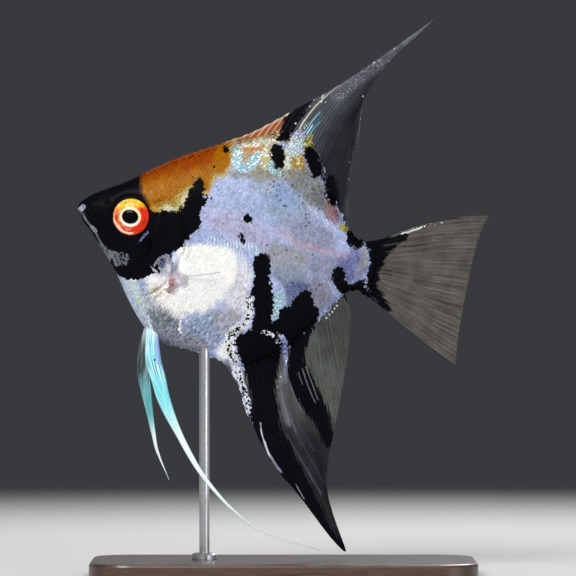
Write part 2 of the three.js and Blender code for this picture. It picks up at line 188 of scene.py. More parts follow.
# Bare flesh behind the cheek, where a thin clear fold takes the place of scales.
SMOOTH_FOLD = (
    (21.8, -8.6), (24.6, -6.8), (28.6, -6.4), (31.2, -8.6), (31, -12.4), (29.4, -14.6), (25.4, -14.2),
    (22.2, -12.4),
)

# ---- Markings, as closed outlines in the side view ----
FACE = (
    (-4, 3), (5.2, 10.5), (13.4, 16.5), (15.2, 11.2), (15.9, 8), (18, 5.4), (20, 2.9), (23.1, 3.7),
    (26.8, 4.2), (28.1, 8.2), (29.4, 13), (30.5, 14.6), (32.1, 12.6), (32.6, 9.8), (34.4, 9.4), (33.1, 7.4),
    (32.8, 4.4), (33.6, 1), (31.6, -1), (29.8, -4.6), (27.4, -7.5), (26.7, -9.4), (26.2, -11.6),
    (25.2, -12.9), (22.7, -14.3), (20.4, -15.8), (16.2, -16.4), (11.6, -14.6), (6.6, -11), (-3, -3),
)
SOFT_EDGE = ((13.2, 16.8), (15, 11.6), (15.8, 8.2), (18, 5))  # where the face fades into the nape
JAW_PATCH = (
    (6.9, -8.5), (8.9, -8.7), (12, -9.7), (16.2, -10), (16.2, -12.2), (12.8, -13.6), (9.2, -12.6),
)
NAPE = (
    (9, 20), (13, 11.4), (14.6, 6), (18, 0), (24.4, 0), (30, 4), (33.5, 11), (35, 14.4), (37.6, 16.6),
    (38.4, 20), (37.8, 24), (35, 29),
)
BAR = (
    (49.8, -3.4), (51.2, -1.8), (53, -2.4), (54.2, -5), (55, -9.6), (56.6, -13.6), (57.3, -18.6),
    (57, -24.4), (52, -25.4), (52.4, -19.2), (50.6, -15.8), (50.2, -12.4), (50.6, -9.8), (49.9, -6.6),
)
FRONT_BLACK = (
    (48.9, -25.6), (51.4, -23.4), (53.6, -21.8), (57.4, -22.8), (60.4, -23.8), (61.7, -26), (61.8, -30.4),
    (61.8, -34), (62.3, -38), (64.3, -43.4), (66.9, -48.4), (70, -52.4), (76.9, -60.8), (84, -70),
    (92, -79), (86, -79), (74.5, -66.8), (65.6, -60.4), (60, -52), (57, -46.6), (55.7, -40.3),
    (53.9, -35.9), (51.7, -32), (49.9, -29.6),
)
REAR_BLACK = (
    (62.6, -11.2), (64.6, -9.6), (66.4, -10.4), (67.6, -12.6), (69.5, -14.6), (69.4, -17.4), (68.5, -20.4),
    (68, -24), (68.5, -28), (70.5, -30.8), (72.8, -33.7), (75.4, -37), (77.8, -40.4), (79.8, -44.9),
    (81.2, -49), (78.8, -50), (75.7, -46.3), (72.3, -43.2), (69.5, -40.4), (66.9, -37.1), (64.8, -33.7),
    (63.8, -30.3), (63.4, -26.8), (62.6, -23.6), (60.2, -22.4), (57.6, -23.6), (56.8, -20.4), (59.2, -18.4),
    (59.2, -15.8), (61.4, -14.2),
)
BLOTCHES = (
    FACE, BAR, FRONT_BLACK, REAR_BLACK,
    ((47.7, 26.4), (49.5, 27.9), (51.3, 26.5), (52.1, 23.8), (51.3, 21.3), (49.4, 21.7), (47.9, 24)),
    ((56.4, 26.6), (58, 28.6), (59.8, 27.4), (61.4, 25), (62.6, 21.4), (60.4, 20.8), (58.4, 23.6)),
    ((63.6, 21.4), (66.4, 22), (68.6, 17), (69, 14.4), (66.4, 14.4), (64.2, 17.8)),
    ((70.6, -2.8), (72.4, -1.4), (74.1, -2.6), (74.8, -5.8), (73.4, -7), (71.4, -6)),
    ((73, 8.6), (76.4, 8), (77.8, 5.6), (75.4, 4.2), (73, 5.4)),
    ((72.4, -5.6), (76.4, -5), (79.6, -3.8), (80.6, -5.6), (83.3, -7.4), (82.8, -10), (75, -9.4)),
    (
        (77.9, 7.4), (80, 8), (84.7, 9.9), (88.5, 11.8), (88.4, 9.4), (86.4, 7.8), (86, 6.4), (84.4, 4.4),
        (84, 1.6), (83.2, -1.6), (84, -4.6), (86, -7.2), (88.6, -10.4), (86.6, -10.8), (83, -8.2),
        (80.8, -5.8), (80, -2.4), (79.8, 1.4), (79, 4.4),
    ),
    (
        (48.8, 28.6), (49.2, 31.5), (49.4, 34.6), (50.8, 37.8), (54.2, 41.2), (56.8, 42.6), (55.6, 38.6),
        (53.8, 35), (52.6, 31.4), (51.4, 28.8),
    ),
)
SPOTS = (
    (45.5, 6.1, 1.25), (45.1, 1.1, 0.95), (45.7, -0.2, 0.8), (35.9, 23.4, 0.9), (61.7, -1.5, 0.4),
    (39.6, 3.2, 0.25), (33.6, 17.8, 0.35), (42.2, -8, 0.2),
)
# Glittering patches: middle x and z, reach along and across, turn in degrees, warmth from 0 to 1.
GLITTER = (
    (39.2, 21.9, 1.4, 3.5, 6, 0.16),
    (41.4, 19.3, 2.4, 1.3, 8, 0.08),
    (43.9, 21.8, 1.5, 3.1, -17, 0.16),
    (46.9, 23.4, 1.6, 3.2, 0, 0.66),
    (48.4, 25, 0.9, 2.6, 0, 0.45),
    (48.7, 21.2, 1.1, 2.2, 25, 0.1),
    (50.8, 20, 1.2, 0.9, 0, 0.2),
    (52.6, 24.2, 1.2, 3.4, 10, 0.48),
    (54.2, 28.2, 2, 3.4, 0, 0.3),
    (44.8, 27.2, 6, 1, 24, 0.55),
    (49.4, 29.6, 2.4, 1.6, 20, 0.72),
    (55.4, 23.8, 1.7, 1.8, 0, 0.86),
    (57.2, 29.2, 1.2, 2.6, 0, 0.8),
    (58.2, -15.4, 0.9, 4, 0, 0.12),
    (20.4, -19.6, 6.4, 1, -61, 0.36),
    (25.2, -17.6, 2.2, 0.6, 20, 0.62),
)
# Runs along which white and black break into flecks, with their width.
FLECKS = (
    (((50.4, -15), (50.8, -19), (50.4, -21.8), (48, -24), (47.2, -26.2), (47.4, -28.5)), 1.7, -0.5),
    (((47.6, -29), (50.2, -33), (51.6, -35.6)), 1.7, -0.25),
    (((51.6, -35.6), (53.4, -38.6), (55, -41.6), (56.4, -44.4)), 1, 0),
    (((55.4, -22.9), (58, -23), (60.3, -24.5)), 1, 0.3),
)
# The upper rim of the white belly, where it breaks into a comb of bright dashes: painted highlights, one on
# each scale that catches the light.
SCALE_HIGHLIGHT_PITCH = 0.00085  # metres from one dash to the next
SCALE_HIGHLIGHT_COMB = (
    (((36.6, -1.9), (42, -1.4), (47.6, -1.4), (50.6, -2.2)), 1.7, 1),
    (((44.4, -3.4), (46.8, -6), (48.4, -9)), 2.4, 0.8),
)
# The white of the belly, sharp along its upper edge: partly the belly's own pearly white and partly a painted
# highlight where the flank faces the light.
BELLY_WHITE_AND_HIGHLIGHT = (
    (29.3, -5), (33.7, -3.7), (37.7, -3), (41, -2.8), (43.2, -3.2), (44.4, -4.6), (44.9, -6.8),
    (45.2, -9.3), (44.6, -12.2), (43, -13.9), (42.9, -15.9), (41.3, -17.6), (38.4, -19.6), (36.5, -20.8),
    (34.1, -20.2), (31.1, -20), (28.1, -19.2), (28.3, -17.3), (30.4, -16.8), (33.2, -16), (32.1, -14.3),
    (30.8, -12.3), (30.2, -10.5), (30.3, -8.3), (28.8, -6.6),
)
# Straw yellow and cream patches of the nape, and how pale they go.
STRAW = ((28, 8, 5, 2.6, 42, 0.8), (25.2, 4.8, 4.6, 1.6, 12, 1), (34, 14.6, 2.6, 1.2, 40, 0.3))
# Patches with dark specks (and how many) and with brushed silver: middle, reach along and across, turn.
SPECKS = (
    (55.6, 15.4, 10.5, 5.4, -48, 0.42),
    (61, 21, 7, 2.4, -55, 0.42),
    (56, 0, 8, 5, 0, 0.14),
    (66, -9, 5, 4, 30, 0.2),
    (24, 12, 12, 9, 30, 0.16),
)
BRUSHED = (
    (37.6, -25, 12.5, 5.6, 0, 1),
    (25.6, -21, 5.5, 6.5, 30, 0.8),
    (50, -18, 4, 9, 0, 0.6),
)

# Soft patches of flesh colour, some of them painted highlight and painted shade: middle x and z, reach along
# and across, turn in degrees, linear colour.
FLUSHES_AND_PAINTED_LIGHT = (
    (42, 10.5, 15, 7.5, 0, (0.42, 0.49, 0.72)),
    (55, 11, 8, 5, -30, (0.32, 0.42, 0.54)),
    (44, 3, 11, 3.6, -8, (0.47, 0.46, 0.64)),
    (58, 18.8, 9.2, 4.8, -46, (0.23, 0.23, 0.2)),
    (53.6, 14.2, 5.6, 3.6, -20, (0.29, 0.39, 0.6)),
    (47.6, 15.2, 3.4, 2, 0, (0.38, 0.46, 0.56)),
    (64, 15.2, 3.8, 1.7, -56, (0.16, 0.15, 0.14)),
    (44.5, 18.2, 8, 1.7, 4, (0.31, 0.32, 0.31)),
    (61, 5.6, 8.5, 4.6, -30, (0.32, 0.36, 0.5)),
    (64, 5, 7, 4, -20, (0.27, 0.29, 0.4)),
    (58.4, -2, 8, 4.4, -4, (0.33, 0.34, 0.37)),
    (59.5, -6.6, 6, 3, 0, (0.23, 0.27, 0.35)),
    (61.4, -12.6, 2.4, 2.6, 0, (0.15, 0.18, 0.28)),
    (69, -2.6, 5, 4, 0, (0.26, 0.27, 0.38)),
    (67.6, -10.2, 4.6, 4.8, 0, (0.24, 0.23, 0.3)),
    (62.4, -9.6, 4.4, 2, 8, (0.09, 0.11, 0.22)),
    (75.6, -0.4, 4.6, 5.2, 0, (0.13, 0.14, 0.31)),
    (78.4, 2.6, 0.8, 4.2, 0, (0.34, 0.33, 0.36)),
    (19.5, -19, 4, 7, 35, (0.32, 0.41, 0.56)),
    (25.5, -22, 4.2, 5, 30, (0.46, 0.5, 0.55)),
    (25.6, -18.4, 2.8, 2.4, 0, (0.56, 0.54, 0.45)),
    # Painted shade: grey low on the belly, on its underside.
    (29, -26.4, 6, 4, 0, (0.25, 0.27, 0.31)),
    (25.4, -27.4, 2.6, 0.9, -62, (0.88, 0.92, 0.95)),
    (28.6, -24.2, 4, 2.4, 10, (0.19, 0.225, 0.24)),
    (40.5, -25.2, 7.5, 4.2, 8, (0.28, 0.34, 0.48)),
    (38, -21.4, 4.2, 2.4, 8, (0.34, 0.46, 0.62)),
    # Painted shade: grey along the belly's lower edge, on its underside.
    (36, -30, 9, 2.4, 0, (0.25, 0.25, 0.29)),
    # These three near-white patches are partly the belly's pearly white and partly a painted highlight.
    (37.6, -10.4, 11, 6, 10, (1, 0.985, 0.96)),
    (33.5, -18.2, 8.5, 5, 20, (0.97, 0.95, 0.91)),
    (26.6, -15.6, 4.8, 2.6, 10, (0.95, 0.92, 0.89)),
    (47, -14, 3.4, 9.5, 0, (0.74, 0.72, 0.78)),
    (46, -22, 4, 4, 0, (0.37, 0.37, 0.42)),
    (26.6, -10.6, 4.2, 3.2, 0, (0.6, 0.6, 0.64)),
    (29.8, -11.4, 1.2, 1.6, 0, (0.36, 0.35, 0.42)),
    (47.6, -28.8, 2.2, 4.6, -30, (0.97, 0.97, 0.98)),
    (58, -15.4, 1.5, 5, 0, (0.36, 0.5, 0.56)),
    (62.2, -26.4, 2.2, 3, 0, (0.3, 0.32, 0.55)),
    (67.4, 12.4, 4, 1.5, -56, (0.27, 0.14, 0.14)),
    (46.5, 23, 10, 5, -2, (0.36, 0.33, 0.17)),
    (44, 28.4, 10.5, 2.6, 20, (0.45, 0.24, 0.06)),
    (42.8, 25, 3.6, 0.9, 14, (0.62, 0.22, 0.015)),
    (41.5, 22.2, 0.6, 1.7, 10, (0.5, 0.28, 0.1)),
    (50.9, 30.6, 1.8, 2.4, 0, (0.2, 0.07, 0.02)),
    (57.2, 29, 1.5, 3.6, 24, (0.36, 0.3, 0.02)),
    (55.5, 24.2, 1.7, 2.2, 0, (0.58, 0.27, 0.03)),
    (48, 20.2, 3, 1.7, 0, (0.34, 0.33, 0.15)),
    (61.6, 24.4, 7.5, 1.7, -62, (0.05, 0.05, 0.055)),
    (71.8, 9, 1.7, 1.3, -40, (0.42, 0.34, 0.03)),
)
FLANK = (0.43, 0.5, 0.76)
# Light of the glittering grains, by hue: icy cyan, white, yellow, olive and brown.
SPARK_HUES = (
    (0, (0.22, 0.5, 0.7)), (0.2, (0.52, 0.85, 0.92)), (0.42, (0.93, 0.98, 1)),
    (0.6, (0.96, 0.95, 0.74)), (0.8, (0.52, 0.54, 0.1)), (1, (0.4, 0.17, 0.02)),
)
# Pale marks and painted highlights on the black face: middle lines with their width and linear colour.
PALE_LINES_AND_HIGHLIGHTS = (
    (((0.2, -1.4), (0.9, -0.4), (1.3, 0.2)), 1, (0.25, 0.26, 0.33)),
    (((1.6, -1.6), (3.3, -3.4), (5.4, -5.2), (7.6, -7.8), (9.3, -9.6)), 0.36, (0.06, 0.065, 0.08)),
    (((5, -4.8), (5.9, -5.4)), 0.7, (0.22, 0.22, 0.18)),
    # A painted highlight: the blue streak along the cheek's ridge behind the eye.
    (((19.8, -3.1), (19, -4.3), (18.2, -6.1)), 0.36, (0.035, 0.045, 0.15)),
    (((25.4, -9.4), (25.5, -10.9)), 1.5, (0.022, 0.03, 0.034)),
    (((22.5, -11.9), (24, -12.5), (25.2, -12.9), (27.2, -12.2)), 0.36, (0.36, 0.35, 0.4)),
    (((23.4, -11.2), (24, -10), (24.2, -9.3), (25.6, -8.3), (27.2, -7.7)), 0.32, (0.13, 0.14, 0.17)),
    (((26.9, -7.9), (26.5, -8.8), (26.6, -9.7), (26.3, -10.8), (25.8, -11.9)), 0.4, (0.26, 0.26, 0.3)),
    # A painted glint: the small blue-white spot on the gill cover's edge.
    (((28.1, -8), (28.4, -8.8)), 0.6, (0.66, 0.8, 0.98)),
)
# Fine lines drawn on the flank, and one painted highlight, with their width, linear colour and strength.
FLANK_LINES_AND_HIGHLIGHT = (
    # A painted highlight: the broad pale band along the throat's edge.
    (((17.4, -16.6), (20.2, -21.6), (23.8, -27)), 2.6, (0.66, 0.77, 0.87), 0.75),
    (((57.5, 14.7), (60, 13.3), (63.8, 10.8), (67.7, 7.7), (71.6, 5)), 0.4, (0.66, 0.72, 0.84), 0.45),
    (((54, 5), (57.1, 3.6), (60.5, 2.7), (65, 2.2), (69, 1.9), (73.2, 1.4)), 1.3, (0.52, 0.34, 0.42), 0.5),
    (((57.1, 3.3), (60.5, 2.4), (65, 1.9), (69, 1.6)), 0.45, (0.52, 0.36, 0.38), 0.5),
    (((28.9, -13.8), (29.3, -15.7), (28.8, -16.9)), 1.1, (0.36, 0.07, 0.11), 0.85),
    (((29.8, -15.6), (32.6, -14.6)), 1.3, (0.4, 0.32, 0.35), 0.6),
    (((28.6, -12.4), (30.4, -12.6), (32.2, -13.2)), 1.7, (0.42, 0.37, 0.39), 0.55),
    (((27.3, -10.2), (27.7, -11.6)), 0.8, (0.66, 0.66, 0.65), 0.9),
    (((27.2, -8.3), (27.3, -9.8)), 0.9, (0.12, 0.12, 0.15), 0.75),
    (((28.2, -9.8), (28.3, -12)), 0.5, (0.1, 0.1, 0.12), 0.8),
    (((28.9, -10.2), (28.9, -12.4)), 1.1, (0.36, 0.33, 0.38), 0.55),
    (((32.1, -21.2), (33.3, -24.2), (33.6, -26.9), (34.9, -27.8)), 0.5, (0.95, 0.96, 1), 0.95),
    (((77, 6.2), (77.9, 1.8), (77.4, -2.2)), 1.2, (0.3, 0.3, 0.32), 0.7),
)


# ---- Curves and distances ----
OUTSIDE = -6.0  # the depth, in millimetres, of every place well outside an outline


def along(rows, t):
    """A smooth curve through rows of numbers: t is 0 at the first row and 1 at the last."""
    rows = np.asarray(rows, float)
    place = np.clip(t, 0.0, 1.0) * (len(rows) - 1)
    first = np.minimum(place.astype(int), len(rows) - 2)
    f = (place - first)[..., None]
    a, b, c, d = (rows[np.clip(first + k, 0, len(rows) - 1)] for k in (-1, 0, 1, 2))
    slope, following, rise = (c - a) / 2, (d - b) / 2, c - b
    return b + f * (slope + f * (3 * rise - 2 * slope - following + f * (slope + following - 2 * rise)))


def ramp(low, high, value):
    """0 at low, 1 at high, and smooth between; low may be above high."""
    share = np.clip((value - low) / (high - low), 0.0, 1.0)
    return share * share * (3 - 2 * share)


def unit(vectors):
    """Vectors brought to length 1."""
    return vectors / np.maximum(np.linalg.norm(vectors, axis=-1, keepdims=True), 1e-9)


def ridge(distance, width):
    """1 on a line and 0 a few widths from it."""
    return np.exp(-((distance / width) ** 2))


def run_distance(x, z, run):
    """Distance from the places to an open line."""
    run = np.asarray(run, float)
    near = np.full(np.shape(x), 1e9)
    for (ax, az), (bx, bz) in zip(run[:-1], run[1:]):
        length = (bx - ax) ** 2 + (bz - az) ** 2
        f = np.clip(((x - ax) * (bx - ax) + (z - az) * (bz - az)) / length, 0, 1)
        near = np.minimum(near, np.hypot(x - ax - f * (bx - ax), z - az - f * (bz - az)))
    return near


def smooth_run(run, parts=6):
    return along(run, np.linspace(0, 1, parts * (len(run) - 1) + 1))


def outline_depth(x, z, outline):
    """How deep the places lie inside a closed outline, rounded through its points: negative outside."""
    outline = np.asarray(outline, float)
    looped = np.concatenate([outline[-1:], outline, outline[:2]])
    share = np.linspace(1, len(outline) + 1, 4 * len(outline) + 1) / (len(looped) - 1)
    run = along(looped, share)
    depth = np.full(np.shape(x), OUTSIDE)
    low, high = run.min(0) + OUTSIDE, run.max(0) - OUTSIDE
    near = (x > low[0]) & (x < high[0]) & (z > low[1]) & (z < high[1])
    px, pz = x[near], z[near]
    inside = np.zeros(px.shape, bool)
    for (ax, az), (bx, bz) in zip(run[:-1], run[1:]):
        if az != bz:
            crossing = ((az > pz) != (bz > pz)) & (px < (bx - ax) * (pz - az) / (bz - az) + ax)
            inside ^= crossing
    distance = run_distance(px, pz, run)
    depth[near] = np.clip(np.where(inside, distance, -distance), OUTSIDE, None)
    return depth


def waves(x, z, scale, seed):
    """Smooth uneven waves from -1 to 1, about scale millimetres apart."""
    rng = np.random.default_rng(seed)
    total = np.zeros(np.shape(x))
    for _ in range(5):
        angle, phase, stretch = rng.uniform(0, math.tau, 2).tolist() + [rng.uniform(0.7, 1.5)]
        across = x * math.cos(angle) + z * math.sin(angle)
        total += np.sin(math.tau * stretch * across / scale + phase)
    return total / 5


def placed(points):
    """Places in the fish's frame, in millimetres, as places in the model's frame, in metres."""
    x, y, z = np.moveaxis(np.asarray(points, float), -1, 0)
    c, s = math.cos(NOSE_UP), math.sin(NOSE_UP)
    return MM * np.stack([SNOUT[0] + x * c + z * s, y, SNOUT[2] - x * s + z * c], -1)


def unplaced(points):
    """The reverse of placed()."""
    x, y, z = np.moveaxis(np.asarray(points, float) / MM, -1, 0)
    c, s = math.cos(NOSE_UP), math.sin(NOSE_UP)
    x, z = x - SNOUT[0], z - SNOUT[2]
    return np.stack([x * c - z * s, y, x * s + z * c], -1)


# ---- Meshes ----
def grid_faces(rows, columns, wrap=False, start=0):
    """Quads of a grid of vertices, closed round its columns if it wraps."""
    i, j = np.meshgrid(np.arange(rows - 1), np.arange(columns if wrap else columns - 1), indexing="ij")
    k = (j + 1) % columns
    quads = np.stack([i * columns + j, i * columns + k, (i + 1) * columns + k, (i + 1) * columns + j], -1)
    return (quads.reshape(-1, 4) + start).tolist()


def volume(vertices, faces):
    """The volume that the faces enclose, negative where they point inwards."""
    total = 0.0
    for size in (3, 4):
        some = np.array([f for f in faces if len(f) == size], int)
        for k in range(1, size - 1) if len(some) else ():
            a, b, c = vertices[some[:, 0]], vertices[some[:, k]], vertices[some[:, k + 1]]
            total += np.einsum("ij,ij->", a, np.cross(b, c)) / 6
    return total


def new_object(name, data):
    """An object in the scene, with its mesh, light or camera."""
    made = bpy.data.objects.new(name, data)
    bpy.context.scene.collection.objects.link(made)
    return made


def new_mesh(name, vertices, faces):
    mesh = bpy.data.meshes.new(name)
    mesh.from_pydata(vertices.tolist(), [], faces)
    return mesh


def add_piece(name, vertices, faces, material, attributes, slot, *nodes):
    """A closed smooth piece in place of some solids, with faces outwards and values on its vertices."""
    vertices = placed(vertices)
    if volume(vertices - vertices.mean(0), faces) < 0:
        faces = [f[::-1] for f in faces]
    mesh = new_mesh(name, vertices, faces)
    mesh.materials.append(material)
    mesh.shade_smooth()
    store(mesh, attributes)
    finish_piece(mesh, slot, *nodes)


def store(mesh, attributes):
    """Puts values on a mesh's vertices: one number each, or three for a colour."""
    for name, values in attributes.items():
        values = np.asarray(values, np.float32)
        if values.ndim == 1:
            mesh.attributes.new(name, "FLOAT", "POINT").data.foreach_set("value", values)
        else:
            values = np.concatenate([values, np.ones((len(values), 1), np.float32)], 1)
            mesh.attributes.new(name, "FLOAT_COLOR", "POINT").data.foreach_set("color", values.ravel())


def finish_piece(mesh, slot, *nodes):
    """Fixes a mesh to the model and hides the solids that it stands for. Its slot is not used."""
    piece = new_object(mesh.name, mesh)
    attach(piece, "root")
    if nodes:
        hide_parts(*nodes)


# ---- The fish's surface ----
def body_surface(t, angle, grow):
    """Places on the flesh: t runs from the snout to the tail root, and angle from the back over the left."""
    rows = along(RIBS, t)
    back, belly = rows[..., 0:2], rows[..., 2:4]
    rise = unit(back - belly) * grow
    back, belly = back + rise, belly - rise
    waist = belly + (back - belly) * rows[..., 5:6]
    up, out = np.cos(angle), np.sin(angle)
    end = np.where(up[..., None] > 0, back, belly)
    place = waist + (end - waist) * np.abs(up)[..., None]
    width = np.maximum(rows[..., 4] + grow, 0.2) * np.sign(out) * np.abs(out) ** rows[..., 6]
    return np.stack([place[..., 0], -width, place[..., 1]], -1)


def relief(x, z):
    """How far the head's features and the flank stand off the plain flesh, in millimetres."""
    from_eye = np.hypot(x - EYE["x"], z - EYE["z"])
    lift = -1.5 * ramp(5.25, 4.75, from_eye) + 0.24 * ridge(from_eye - 5.55, 0.38)
    lift += -0.12 * ridge(from_eye - 6.6, 0.5)
    mouth = run_distance(x, z, smooth_run(MOUTH))
    lips = ramp(7, 3, x)
    lift += lips * (0.34 * ridge(mouth - 0.62, 0.42) - 0.6 * ridge(mouth, 0.2))
    lift += -0.22 * ridge(run_distance(x, z, smooth_run(UPPER_LIP)), 0.24)
    lift += -0.14 * ridge(run_distance(x, z, smooth_run(LOWER_LIP)), 0.22)
    nostril = np.hypot(x - NOSTRIL[0], z - NOSTRIL[1])
    lift += 0.13 * ridge(nostril - 0.55, 0.2) - 0.4 * ridge(nostril, 0.3)
    cover = outline_depth(x, z, COVER)
    behind = ramp(15, 21, x + 0.25 * z)
    lift += behind * (0.5 * ramp(-0.12, 0.5, cover) * ramp(5.5, 1.5, cover) - 0.3 * ridge(cover + 0.42, 0.36))
    cheek = run_distance(x, z, smooth_run(CHEEK_EDGE))
    lift += 0.13 * ridge(cheek - 0.3, 0.3) - 0.16 * ridge(cheek + 0.1, 0.22)
    lift += -0.05 * ridge(run_distance(x, z, smooth_run(COVER_SEAM)), 0.24)
    lift += 0.22 * ridge(np.hypot(x - 29.2, (z + 15.4) * 0.75), 1.3)
    lift += 0.06 * waves(x, z, 17, 3) * ramp(30, 40, x)
    return lift


def blotch_depth(x, z, left):
    """Depth inside the black markings. The two sides differ away from the back and the belly."""
    depth = np.full(np.shape(x), OUTSIDE)
    away = np.where(left, 0, ramp(33, 42, x) * ramp(27, 18, np.abs(z + 2)))
    wx = x + away * (1.8 * np.sin(z / 6) + 1.2)
    wz = z + away * (1.6 * np.cos(x / 7) - 0.8)
    for outline in BLOTCHES:
        depth = np.maximum(depth, outline_depth(wx, wz, outline))
    for sx, sz, radius in SPOTS:
        depth = np.maximum(depth, radius - np.hypot(wx - sx, wz - sz))
    return depth


def off_middle(x, z, middle_x, middle_z, reach, across, turn):
    """How far places are from the middle of an oval turned by so many degrees: 1 on its rim."""
    c, s = math.cos(math.radians(turn)), math.sin(math.radians(turn))
    x, z = x - middle_x, z - middle_z
    return np.hypot((x * c + z * s) / reach, (z * c - x * s) / across)


def laid_over(tint, share, colour):
    """Colours with another laid over them, by its share at each place."""
    return tint * (1 - share[..., None]) + np.array(colour) * share[..., None]


def flush_and_painted_light_colour(x, z):
    """The flesh colour under the black, with some painted highlight and shade: a lilac flank with soft
    patches laid over it in turn.
    """
    colour = np.broadcast_to(FLANK, np.shape(x) + (3,))
    x, z = x + 1.1 * waves(x, z, 6, 11), z + 1.1 * waves(x, z, 6, 12)
    for *oval, patch_colour in FLUSHES_AND_PAINTED_LIGHT:
        colour = laid_over(colour, ramp(1.25, 0.55, off_middle(x, z, *oval)), patch_colour)
    return colour


def glitter_depth(x, z):
    """Depth inside the glittering patches, and the warmth of the nearest one's light."""
    depth, warmth = np.full(np.shape(x), OUTSIDE), np.zeros(np.shape(x))
    for *oval, warm in GLITTER:
        own = (1 - off_middle(x, z, *oval)) * min(oval[2:4])
        warmth = np.where(own > depth, warm, warmth)
        depth = np.maximum(depth, own)
    return 1.4 * depth, warmth


def patches(x, z, rows, outside=1.2, inside=0.7):
    """The strength of soft patches laid over each other."""
    total = np.zeros(np.shape(x))
    for *oval, strength in rows:
        total = np.maximum(total, strength * ramp(outside, inside, off_middle(x, z, *oval)))
    return total


def near_run(x, z, run, width, core=0.3):
    """1 close to a line and 0 past its width; core is the share of the width that is full."""
    return ramp(width, core * width, run_distance(x, z, smooth_run(run)))


def strongest(x, z, runs):
    """The strength of the lines that pass near a place: the highest counts."""
    near = [strength * near_run(x, z, run, width) for run, width, strength in runs]
    return np.maximum.reduce([np.zeros(np.shape(x)), *near])


def markings(x, z, left):
    """The values that colour skin, scales and fins alike, from places in the side view."""
    jaw = ramp(0, -5, z) * ramp(26, 22, x)
    black = blotch_depth(x, z, left) * (1 + 1.5 * jaw)
    tint = flush_and_painted_light_colour(x, z)
    fleck, pale = np.zeros(np.shape(x)), np.zeros(np.shape(x))
    low = ramp(-11, -16, z)
    # The belly's white, partly its own pearly white and partly a painted highlight, laid over the tint.
    white_and_highlight = outline_depth(x, z, BELLY_WHITE_AND_HIGHLIGHT) / (1 + 1.2 * low) + 0.7 * low * waves(x, z, 3.2, 21)
    tint = laid_over(tint, ramp(-1, 0.5, white_and_highlight), (1, 0.985, 0.96))
    for run, width, depth in FLECKS:
        own = near_run(x, z, run, width)
        black = black * (1 - own) + depth * own
        fleck = np.maximum(fleck, own)
    tint = laid_over(tint, 0.85 * fleck, (0.84, 0.85, 0.88))
    for run, width, colour in PALE_LINES_AND_HIGHLIGHTS:
        share = near_run(x, z, run, width, 0.4)
        tint = laid_over(tint, share, colour)
        pale = np.maximum(pale, share)
    for run, width, colour, strength in FLANK_LINES_AND_HIGHLIGHT:
        tint = laid_over(tint, strength * near_run(x, z, run, width), colour)
    patch = ramp(-0.9, 0.4, outline_depth(x, z, JAW_PATCH))
    tint = laid_over(tint, patch, (0.14, 0.155, 0.165))
    pale = np.maximum(pale, 0.51 * patch)
    black = np.minimum(black, 1.2 - 2.6 * pale)
    nape = outline_depth(x, z, NAPE)
    below_back = z - (0.47 * (x - 15) + 16.5)
    rust = ramp(-9.5, -3.5, below_back) * ramp(36, 31, x)
    straw = patches(x, z, STRAW, 1.5, 0.2)
    rust += -0.6 * ramp(1.6, 0, nape) * ramp(26, 31, x) - straw * (0.7 + 0.8 * ramp(-2.2, -0.4, black))
    glitter, warmth = glitter_depth(x, z)
    return {
        "black": black,
        "nape": nape,
        "rust": rust,
        "glitter": glitter,
        "warmth": warmth,
        "tint": tint,
        "shine": ramp(0.62, 0.95, tint.mean(-1)) * ramp(14, 22, x),
        "speck": 0.015 + patches(x, z, SPECKS),
        "brushed": patches(x, z, BRUSHED),
        "comb": strongest(x, z, SCALE_HIGHLIGHT_COMB),
        "fleck": fleck,
        "veil": near_run(x, z, SOFT_EDGE, 2.6),
    }


# ---- Shader nodes ----
class Wire:
    """A number or colour that changes over a surface. Sums with it add nodes to its own tree."""

    def __init__(self, socket):
        self.socket, self.tree = socket, socket.id_data

    def worked(self, operation, *others):
        inputs = dict(enumerate((self, *others)))
        return wire(self.tree, "ShaderNodeMath", inputs, operation=operation)

    def __add__(self, other):
        return self.worked("ADD", other)

    def __mul__(self, other):
        return self.worked("MULTIPLY", other)

    def __sub__(self, other):
        return self.worked("SUBTRACT", other)

    def __rsub__(self, other):
        return self * -1.0 + other

    def __truediv__(self, other):
        return self.worked("DIVIDE", other)

    def __abs__(self):
        return self.worked("ABSOLUTE")

    __radd__, __rmul__ = __add__, __mul__

    def fade(self, low, high, start=0, end=1):
        """A smooth step from start to end as the value goes from low to high."""
        inputs = {"Value": self, "From Min": low, "From Max": high, "To Min": start, "To Max": end}
        return wire(self.tree, "ShaderNodeMapRange", inputs, interpolation_type="SMOOTHSTEP")


def plug(socket, value):
    """Sets an input to a value, or links a wire to it."""
    if isinstance(value, Wire):
        value.tree.links.new(value.socket, socket)
    else:
        socket.default_value = value


def give(sockets, **values):
    """Sets or links inputs by name, with _ for a space."""
    for name, value in values.items():
        plug(sockets[name.replace("_", " ")], value)


def add(tree, kind, inputs=None, **settings):
    """A node with its settings, each input set to a value or linked to a wire."""
    node = tree.nodes.new(kind)
    for name, value in settings.items():
        setattr(node, name, value)
    for name, value in (inputs or {}).items():
        plug(node.inputs[name], value)
    return node


def wire(tree, kind, inputs=None, output=0, **settings):
    """One output of a new node."""
    return Wire(add(tree, kind, inputs, **settings).outputs[output])


def blend(share, low, high, mode="MIX"):
    """Two colours mixed."""
    tree = next(value.tree for value in (share, low, high) if isinstance(value, Wire))
    node = add(tree, "ShaderNodeMix", {0: share}, data_type="RGBA", blend_type=mode)
    for index, colour in ((6, low), (7, high)):
        plug(node.inputs[index], colour if isinstance(colour, Wire) else (*colour, 1))
    return Wire(node.outputs[2])


def layered(colour, *layers):
    """A colour with others laid over it in turn, each by its share."""
    for share, laid in layers:
        colour = blend(share, colour, laid)
    return colour


